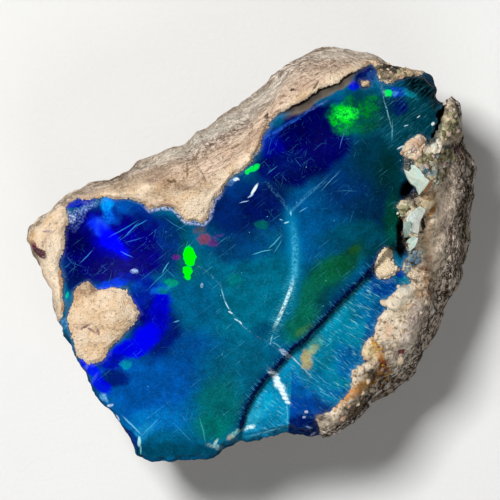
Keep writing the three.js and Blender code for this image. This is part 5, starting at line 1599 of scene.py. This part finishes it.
    def dots(self, colour: Feed, size: float, radius: float, share: float, code: str) -> Socket:
        """Lays round specks, one at the middle of some of the cells of a size in mm."""
        bench = self.bench
        cells = bench.cells(self.place, size)
        chosen = bench.add("ShaderNodeSeparateColor")
        bench.feed(chosen.inputs[0], cells.outputs["Color"])
        lit = bench.math("LESS_THAN", chosen.outputs[0], share)
        near = bench.step(cells.outputs["Distance"], radius, radius * 0.4)
        return bench.blend(bench.times(near, lit), colour, code)


@dataclass(frozen=True)
class StoneFinish:
    """The stone's one material: opal where the break is bare and rind elsewhere."""

    opal_base: str = "006A8A"
    # painted shadow of the step's wall, laid along the groove
    groove: str = "000540"
    # painted shade beside the step, on the plate's side
    shade: str = "00184C"
    band: str = "008CA0"
    fan: str = "0094B4"
    wedge: str = "0052A8"
    crack: str = "A8E0F0"
    # this colour and the next two paint the crest's highlight: its white streak, glow and band
    crest: str = "C8F0F4"
    crest_highlight_glow: str = "0090BC"
    crest_highlight_band: str = "48B8DC"
    crest_arm: str = "58B4D0"
    fringe: str = "B4C0E8"
    brow_edge: str = "7C7062"
    # painted shadow under the brow's overhang
    brow_shadow: str = "1C1416"
    # painted shade on the bare break down the flanks
    wall_shade: str = "001C38"
    opal_rough: float = 0.26
    rind_rough: float = 0.88
    specular: float = 0.016
    coat: float = 0.022
    coat_rough: float = 0.08
    ior: float = 1.45
    bark_reach: float = 19
    bark_thin: float = 1.6
    veils: tuple[tuple[float, Triple, float, float], ...] = (
        (0.34, (3, 6, 0.78), 0.3, 0.7),
        (0.28, (0.22, 2, 0.6), 0.2, 0.8),
    )
    rind_clouds: tuple[Triple, ...] = ((3.2, 5, 0.6), (0.55, 4, 0.7), (0.24, 3, 0.65))
    swallowed: str = "D4C6DA"
    hairlines: tuple[Stroke, ...] = (
        Stroke(38, 3.8, 0.10, 0.69, 0.4, "4CB0E0"),
        Stroke(-52, 3.0, 0.09, 0.70, 0.34, "4CB0E0"),
        Stroke(8, 3.2, 0.09, 0.71, 0.28, "3CA8D0"),
        Stroke(74, 2.6, 0.09, 0.71, 0.32, "48B8D0"),
        Stroke(-20, 2.4, 0.09, 0.71, 0.28, "3098D8"),
        Stroke(62, 0.5, 0.10, 0.72, 0.3, "50B0D0"),
        Stroke(-34, 0.5, 0.10, 0.72, 0.3, "48A8D0"),
    )
    band_lines: tuple[Stroke, ...] = (
        Stroke(-34, 1.7, 0.12, 0.56, 0.2, "30B0C8"),
        Stroke(-28, 1.5, 0.11, 0.65, 0.6, "98E8F0"),
        Stroke(-42, 1.3, 0.10, 0.65, 0.55, "88E0EC"),
    )
    groove_hairs: tuple[Stroke, ...] = (Stroke(-40, 0.9, 0.10, 0.6, 0.4, "48A8C8"),)
    crest_hairs: tuple[Stroke, ...] = (Stroke(-16, 0.8, 0.10, 0.56, 0.36, "60C0CC"),)
    corner_lines: tuple[Stroke, ...] = (
        Stroke(48, 2.2, 0.11, 0.58, 0.18, "309098"),
        Stroke(36, 1.8, 0.10, 0.64, 0.26, "60B8C0"),
    )

    def build(self, shift: Triple) -> bpy.types.Material:
        """Builds the material.

        Args:
            shift: the stone's move onto the part, so that patches keep to its own plan.

        Returns:
            The material.
        """
        material, bench = new_material("opal_in_rind")
        grounds = Grounds(bench, shift)
        depth = bench.value("rind")
        covered = bench.step(grounds.shaken(depth, 0.28, 0.7), -0.05, 0.07)
        bark = self.bark(grounds)
        opal = self.opal(grounds, depth)
        rind, pits = self.rind(grounds, bark)
        colour = bench.blend(covered, opal, rind)

        gloss = bench.math("MULTIPLY_ADD", grounds.cloud(1.4, 3), 0.12, self.opal_rough)
        gloss = bench.math("MULTIPLY_ADD", bench.value("outer"), 0.4, gloss)
        height = bench.lerp(covered, self.opal_height(grounds), self.rind_height(grounds, pits, bark))
        shader = finish_shader(bench, colour, bench.lerp(covered, gloss, self.rind_rough), height)
        bare = bench.minus(1.0, bench.math("MAXIMUM", covered, bench.value("outer")))
        bench.feed(shader.inputs["Coat Weight"], bench.times(bare, self.coat))
        shader.inputs["Specular IOR Level"].default_value = self.specular
        shader.inputs["Coat Roughness"].default_value = self.coat_rough
        shader.inputs["IOR"].default_value = self.ior
        return material

    def bark(self, grounds: Grounds) -> Socket:
        """Fibres and crevices round the flank, placed by the direction and by the height less the reach."""
        bench = grounds.bench
        flat = bench.vector("MULTIPLY", grounds.place, (1, 1, 0))
        wide = (self.bark_reach, self.bark_reach, 0)
        around = bench.vector("MULTIPLY", bench.vector("NORMALIZE", flat), wide)
        height = bench.vector("DOT_PRODUCT", grounds.place, (0, 0, 1))
        lift = bench.times(bench.minus(height, bench.vector("LENGTH", flat)), self.bark_thin)
        lifted = bench.add("ShaderNodeCombineXYZ")
        bench.feed(lifted.inputs[2], lift)
        rolled = bench.vector("ADD", around, lifted.outputs[0])
        fibres = bench.noise(rolled, 1, 3, 0.6)
        shaken = bench.noise(rolled, 0.8, 2, output="Color")
        plates = bench.vector(
            "MULTIPLY_ADD", rolled, (1.2, 1.2, 0.65), bench.vector("MULTIPLY", shaken, (0.9, 0.9, 0.9))
        )
        crevice = bench.step(bench.apart(bench.noise(plates, 1.6, 4, 0.7), 0.5), 0.05, 0.01, 0.4)
        return bench.minus(fibres, crevice)

    def opal(self, grounds: Grounds, depth: Socket) -> Socket:
        """The colour of the bare break, laid in order from the broad fields to the frost and the fringe."""
        bench = grounds.bench
        colour = grounds.patches(self.opal_base, OPAL_FLASHES)
        low, past, beyond, wedge = bench.values("step", "step_past", "beyond_crack", "wedge")
        fuzzy = grounds.shaken(low, 0.5, 0.6)

        on_band = bench.times(bench.step(fuzzy, -0.1, 0.5), bench.step(past, 3, 0.3))
        colour = bench.blend(on_band, colour, grounds.patches(self.band, BAND_FLASHES))
        on_fan = bench.times(on_band, bench.step(beyond, -0.1, 0.25))
        colour = bench.blend(on_fan, colour, grounds.patches(self.fan, FAN_FLASHES))
        deep = bench.times(on_band, bench.step(beyond, -0.3, 1.9))
        on_wedge = bench.times(deep, bench.step(wedge, -0.1, 0.2))
        colour = bench.blend(on_wedge, colour, grounds.patches(self.wedge, WEDGE_FLASHES))

        for share, cloud, low_level, high_level in self.veils:
            veil = self.grey(bench, bench.step(grounds.cloud(*cloud), low_level, high_level))
            colour = bench.blend(share, colour, veil, "OVERLAY")
        colour = bench.blend(1.0, colour, self.swallowed, "MULTIPLY")
        patchy = bench.step(grounds.cloud(3.5), 0.42, 0.62)
        colour = grounds.strokes(colour, self.hairlines, bench.lerp(patchy, 0.12, 1.0))
        clear = bench.lerp(bench.step(depth, -4.2, -1.2), 0.6, 0.72)
        clear = bench.times(clear, bench.minus(1.0, bench.times(on_wedge, 0.8)))
        colour = grounds.strokes(colour, self.band_lines, bench.times(on_band, clear))
        in_corner = bench.step(grounds.reach((22.5, 19.3), 15, 5.2, 6), 1.2, 0.7)
        colour = grounds.strokes(colour, self.corner_lines, in_corner)
        colour = grounds.dots(colour, 0.6, 0.08, 0.2, "2C98BC")
        colour = grounds.dots(colour, 1.3, 0.06, 0.3, "70C0D8")

        # painted shade beside the step on the plate's side, then the step wall's painted shadow along the
        # groove
        shade = bench.times(bench.step(low, -1.5, 0, 0.62), bench.step(low, 0.7, 0))
        colour = bench.blend(bench.times(shade, bench.step(past, 2, 0)), colour, self.shade)
        groove = bench.apart(fuzzy, 0.08)
        groove_shadow = bench.times(bench.step(groove, 0.46, 0.16), bench.step(past, 3, 0, 0.95))
        colour = bench.blend(groove_shadow, colour, self.groove)
        beside = bench.times(bench.step(groove, 1.5, 0.5), bench.step(past, 1, 0))
        colour = grounds.strokes(colour, self.groove_hairs, beside)
        colour = self.lines(grounds, colour)
        frosted = grounds.patches(colour, FROST, grounds.sparkle)
        colour = bench.blend(bench.step(bench.value("outer"), 0.5, 0.95), frosted, colour)
        return self.edges(grounds, colour, depth)

    def lines(self, grounds: Grounds, colour: Socket) -> Socket:
        """The crest's painted highlight, as a glow, a speckled band and a low white streak, with its two
        arms, and the pale crack.
        """
        bench = grounds.bench
        broken = grounds.cloud(0.3, 3, 0.7)
        specks = bench.step(broken, 0.42, 0.58)
        crest = bench.math("MULTIPLY_ADD", bench.minus(broken, 0.5), 0.4, bench.value("crest"))
        high = grounds.reach((5.9, 1.0), 90, 6, 2.4)
        # painted highlight along the crest: glow, band and white streak
        glow = bench.times(bench.step(crest, 1.7, 0.1, 0.42), bench.step(high, 1.3, 0.5))
        colour = bench.blend(glow, colour, self.crest_highlight_glow)
        middle = grounds.reach((6.4, -1.2), 90, 5.2, 1.4)
        band = bench.times(bench.step(crest, 0.8, 0.05), bench.step(middle, 1.3, 0.4, 0.72))
        colour = bench.blend(bench.times(band, bench.lerp(specks, 0.08, 1.0)), colour, self.crest_highlight_band)
        low = grounds.reach((5.2, -7.2), 75, 3.6, 1.6)
        beside = bench.times(bench.step(crest, 1.4, 0.4), bench.step(low, 1.9, 0.8))
        colour = grounds.strokes(colour, self.crest_hairs, beside)
        streak = bench.times(bench.step(crest, 0.36, 0.12), bench.step(low, 1.25, 0.5))
        colour = bench.blend(bench.times(streak, bench.lerp(specks, 0.2, 1.0)), colour, self.crest)
        arm = bench.times(bench.step(bench.value("crest_arm"), 0.4, 0.02, 0.2), specks)
        colour = bench.blend(arm, colour, self.crest_arm)

        crack = bench.value("crack")
        strong = grounds.reach((-1.9, -8.8), -60, 2.6, 1)
        fine = bench.times(bench.step(crack, 0.16, 0.02), specks)
        share = bench.times(fine, bench.lerp(bench.step(strong, 1.5, 0.4), 0.16, 0.6))
        return bench.blend(share, colour, self.crack)

    def edges(self, grounds: Grounds, colour: Socket, depth: Socket) -> Socket:
        """The frosty fringe along the rind, the stained bevel under the brow and its painted shadow, and
        painted shade on the bare break down the flanks.
        """
        bench = grounds.bench
        broken = grounds.cloud(0.3, 3, 0.6)
        near = bench.step(depth, -0.62, -0.14)
        corner = grounds.reach((-8.9, 5.7), 0, 6, 3.6)
        strength = bench.lerp(bench.step(corner, 1.3, 0.6), 0.07, 0.8)
        share = bench.times(bench.times(near, strength), bench.step(broken, 0.36, 0.56))
        colour = bench.blend(share, colour, self.fringe)
        clear = bench.step(grounds.reach((16.8, 22.8), 60, 3.6, 2.6), 0.75, 1.25)
        under = bench.times(bench.step(bench.value("brow"), 0.3, 0.65), clear)
        bevel = bench.times(bench.times(under, bench.step(depth, -1.4, -0.9)), 0.96)
        colour = bench.blend(bevel, colour, self.brow_edge)
        # painted shadow in the gap under the brow's overhang
        overhang_shadow = bench.times(under, bench.step(depth, -0.45, -0.2))
        colour = bench.blend(overhang_shadow, colour, self.brow_shadow)
        # painted shade on the bare break down the flanks
        return bench.blend(bench.times(bench.value("outer"), 0.55), colour, self.wall_shade)

    def rind(self, grounds: Grounds, bark: Socket) -> tuple[Socket, Socket]:
        """The colour of the rind, and the share of the surface that is pitted."""
        bench = grounds.bench
        natural, coarse, on_top, outer = bench.values("natural", "coarse", "on_top", "outer")
        cloud, grain, speck = (grounds.cloud(*kind) for kind in self.rind_clouds)

        fresh = bench.blend(bench.step(cloud, 0.36, 0.64), "E0C09A", "EED8BC")
        skin = bench.blend(bench.step(cloud, 0.34, 0.62), "C2A48C", "E2C8B0")
        drawn = bench.turned(grounds.place, (0, 0), 33, 3.0, 0.42, 0.8)
        streak = bench.step(bench.noise(drawn, 1, 5, 0.65), 0.52, 0.66, 0.75)
        skin = bench.blend(streak, skin, "8C7058")
        wrinkle = bench.apart(bench.noise(drawn, 1.7, 3, 0.7), 0.5)
        skin = bench.blend(bench.step(wrinkle, 0.03, 0.0, 0.8), skin, "6E5340")
        colour = bench.blend(natural, fresh, skin)

        rough = bench.blend(bench.step(grain, 0.36, 0.54), "8C745A", "E8D4B8")
        rough = bench.blend(bench.step(grounds.cloud(1.2, 3), 0.52, 0.64, 0.8), rough, "F0E2CC")
        rough = bench.blend(bench.step(grounds.cloud(2.1, 3), 0.6, 0.7, 0.5), rough, "D09C70")
        colour = bench.blend(coarse, colour, rough)
        # the fibres' darkest tone is painted shade in the crevices between them
        fibre = bench.blend(bench.step(bark, 0.34, 0.43), "22160E", "E0C2AA")
        fibre = bench.blend(bench.step(bark, 0.4, 0.52), fibre, "FFF8EE")
        pits = bench.step(grain, 0.42, 0.32)
        fibre = bench.blend(bench.step(grain, 0.46, 0.36, 0.45), fibre, "3A281C")
        foot = bench.step(bench.vector("DOT_PRODUCT", grounds.place, (0, 0, 1)), 19, 11, 0.62)
        fibre = bench.blend(foot, fibre, "94806A")
        colour = bench.blend(bench.times(outer, bench.lerp(coarse, 0.6, 0.95)), colour, fibre)

        colour = bench.blend(on_top, colour, grounds.patches(colour, RIND_STAINS))
        # painted shade in the crevices of the coarse flank
        crevice_shade = bench.times(bench.step(bark, 0.4, 0.29, 0.75), bench.times(outer, coarse))
        colour = bench.blend(crevice_shade, colour, "26190F")
        # painted shade in the pits
        colour = bench.blend(bench.times(pits, bench.lerp(coarse, 0.5, 0.24)), colour, "6A5240")
        colour = bench.blend(bench.step(speck, 0.44, 0.3, bench.lerp(coarse, 0.62, 0.4)), colour, "74583F")
        return bench.blend(bench.step(speck, 0.56, 0.7, 0.5), colour, "FFF4E2"), pits

    @staticmethod
    def opal_height(grounds: Grounds) -> Socket:
        """The fine relief of the break in mm: broad ripples and small dents."""
        ripple = grounds.bench.times(grounds.cloud(2.2), 0.06)
        return grounds.bench.math("MULTIPLY_ADD", grounds.cloud(0.4, 3, 0.6), 0.012, ripple)

    @staticmethod
    def rind_height(grounds: Grounds, pits: Socket, bark: Socket) -> Socket:
        """The fine relief of the rind in mm: grain, grit, pits and fibres."""
        bench = grounds.bench
        grain = bench.times(grounds.cloud(0.7, 5, 0.75), 0.42)
        height = bench.math("MULTIPLY_ADD", grounds.cloud(0.25), 0.12, grain)
        height = bench.math("MULTIPLY_ADD", pits, -0.08, height)
        return bench.math("MULTIPLY_ADD", bench.times(bark, bench.value("outer")), 1.3, height)

    @staticmethod
    def grey(bench: Bench, level: Socket) -> Socket:
        """A grey of a level from 0 to 1."""
        node = bench.add("ShaderNodeCombineColor")
        for socket in node.inputs:
            bench.feed(socket, level)
        return node.outputs[0]


def finish_shader(bench: Bench, colour: Socket, rough: Feed, height: Socket) -> bpy.types.Node:
    """Lays the surface shader with its colour, roughness and fine relief in mm, and the output."""
    shader = bench.add("ShaderNodeBsdfPrincipled")
    bump = bench.add("ShaderNodeBump")
    bump.inputs["Distance"].default_value = MM
    bench.feed(bump.inputs["Height"], height)
    normal = bump.outputs[0]
    bench.fill(shader, {"Base Color": colour, "Roughness": rough, "Normal": normal, "Coat Normal": normal})
    output = bench.add("ShaderNodeOutputMaterial")
    bench.feed(output.inputs["Surface"], shader.outputs[0])
    return shader


@dataclass(frozen=True)
class GrainFinish:
    """A stony finish for the loose pieces: a tone for each grain, clouded with a darker one, with specks."""

    name: str
    dark: str
    speck: str
    rough: float
    grain: float
    tones: tuple[str, ...]

    def build(self, shift: Triple) -> bpy.types.Material:
        """Builds the material; a tone is picked by the number kept for each grain."""
        material, bench = new_material(self.name)
        place = bench.place(shift)
        tone = bench.value("tone")
        light: Feed = self.tones[0]
        for number, code in enumerate(self.tones[1:]):
            light = bench.blend(bench.step(tone, number + 0.4, number + 0.6), light, code)
        cloud = bench.noise(place, 0.9, 4, 0.6)
        colour = bench.blend(bench.step(cloud, 0.26, 0.46, 0.85), self.dark, light)
        speck = bench.noise(place, 0.2, 3)
        colour = bench.blend(bench.step(speck, 0.42, 0.3, 0.5), colour, self.speck)
        rough = bench.math("MULTIPLY_ADD", cloud, 0.2, self.rough - 0.1)
        finish_shader(bench, colour, rough, bench.times(bench.noise(place, 0.35, 4), self.grain))
        return material


CRUMB_FINISH = GrainFinish("crumbs", "7A6450", "5C4A3A", 0.85, 0.14, (
    "D8B898", "BE9C82", "DAC6A8", "BCA49C", "EADFC8", "D0D6C4", "9C9A72", "5E5C3C", "70888C", "446C84",
    "C08820", "8C3C14",
))
CHALK_FINISH = GrainFinish("chalk", "A8B8AC", "8C9C90", 0.55, 0.08, (
    "E2EADF", "C4D0C0", "EEF0E6", "B4C8BE", "DCE6E2", "D8BC8C", "E6D0A8", "94ACA0",
))


# ---------- the studio ----------


@dataclass
class Studio:
    """A pale floor, a dim room, a soft light from the upper left and a camera that looks straight down."""

    floor_size: float = 1.6
    room: float = 0.08
    key_watts: float = 8.2
    key_size: float = 0.22
    lamp_far: float = 0.8
    key_from: Triple = (-0.42, 0.4, 1)
    fill_watts: float = 1.7
    fill_size: float = 0.5
    fill_from: Triple = (0.3, -0.9, 0.8)
    far: float = 0.8
    frame_width: float = 0.07
    sharp_height: float = 0.02
    centre: Pair = (0.21, 0.385)
    sensor: float = 36

    def build(self, shift: Triple) -> None:
        """Sets up everything round the stone.

        Args:
            shift: the stone's move onto the part, in mm, which the camera follows.
        """
        aim = Vector((0, 0, self.sharp_height))
        self.floor()
        self.light("key_light", self.key_watts, self.key_size, self.key_from, aim)
        self.light("fill_light", self.fill_watts, self.fill_size, self.fill_from, aim)
        world = bpy.data.worlds.new("room")
        bpy.context.scene.world = world
        world.use_nodes = True
        background = world.node_tree.nodes["Background"]
        background.inputs["Color"].default_value = (1, 1, 1, 1)
        background.inputs["Strength"].default_value = self.room
        bpy.context.scene.view_settings.view_transform = "Standard"

        lens = bpy.data.cameras.new("camera")
        lens.sensor_width = self.sensor
        lens.lens = self.sensor * self.far / self.frame_width
        lens.clip_start = 0.01
        camera = put("camera", lens)
        x, y = (self.centre[axis] + shift[axis] for axis in range(2))
        camera.location = (x * MM, y * MM, self.sharp_height + self.far)
        bpy.context.scene.camera = camera

    def floor(self) -> None:
        """Lays the floor, a flat sheet under the stone's foot."""
        half = self.floor_size / 2
        corners = [(-half, -half, 0), (half, -half, 0), (half, half, 0), (-half, half, 0)]
        mesh = bpy.data.meshes.new("floor")
        mesh.from_pydata(corners, [], [(0, 1, 2, 3)])
        floor = put("floor", mesh)
        material, bench = new_material("paper")
        place = bench.place()
        cloud = bench.noise(place, 40, 3)
        fibre = bench.times(bench.noise(place, 0.6, 3), 0.05)
        finish_shader(bench, bench.blend(cloud, "D4D4D2", "DEDEDC"), 0.9, fibre)
        mesh.materials.append(material)

    def light(self, name: str, watts: float, size: float, from_side: Triple, aim: Vector) -> None:
        """Hangs a square soft light on one side, turned to the stone."""
        lamp = bpy.data.lights.new(name, "AREA")
        lamp.energy = watts
        lamp.size = size
        light = put(name, lamp)
        side = Vector(from_side).normalized()
        light.location = aim + side * self.lamp_far
        light.rotation_euler = side.to_track_quat("Z", "Y").to_euler()


# ---------- putting it together ----------


def finish_piece(piece: bpy.types.Object, material: bpy.types.Material, slot: str) -> None:
    """Gives a piece its finish, ties it to the part's body and lets it stand for the part's node."""
    piece.data.materials.append(material)
    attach(piece, BODY)
    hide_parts(NODE)
    LOG.info("%s: %d faces, %s", piece.name, len(piece.data.polygons), slot)


def main() -> None:
    """Builds the stone, then what sits on it, then the room."""
    logging.basicConfig(level=logging.INFO, format="%(name)s: %(message)s")
    stone = Stone()
    piece = stone.build()
    ground = BVHTree.FromPolygons(
        [vertex.co for vertex in piece.data.vertices], [face.vertices for face in piece.data.polygons]
    )
    finish_piece(piece, StoneFinish().build(stone.shift), "opal")
    finish_piece(Crumbs().build(stone, ground), CRUMB_FINISH.build(stone.shift), "rind")
    finish_piece(ChalkFlakes().build(stone, ground), CHALK_FINISH.build(stone.shift), "rind")
    Studio().build(stone.shift)


if __name__ == "__main__":
    main()
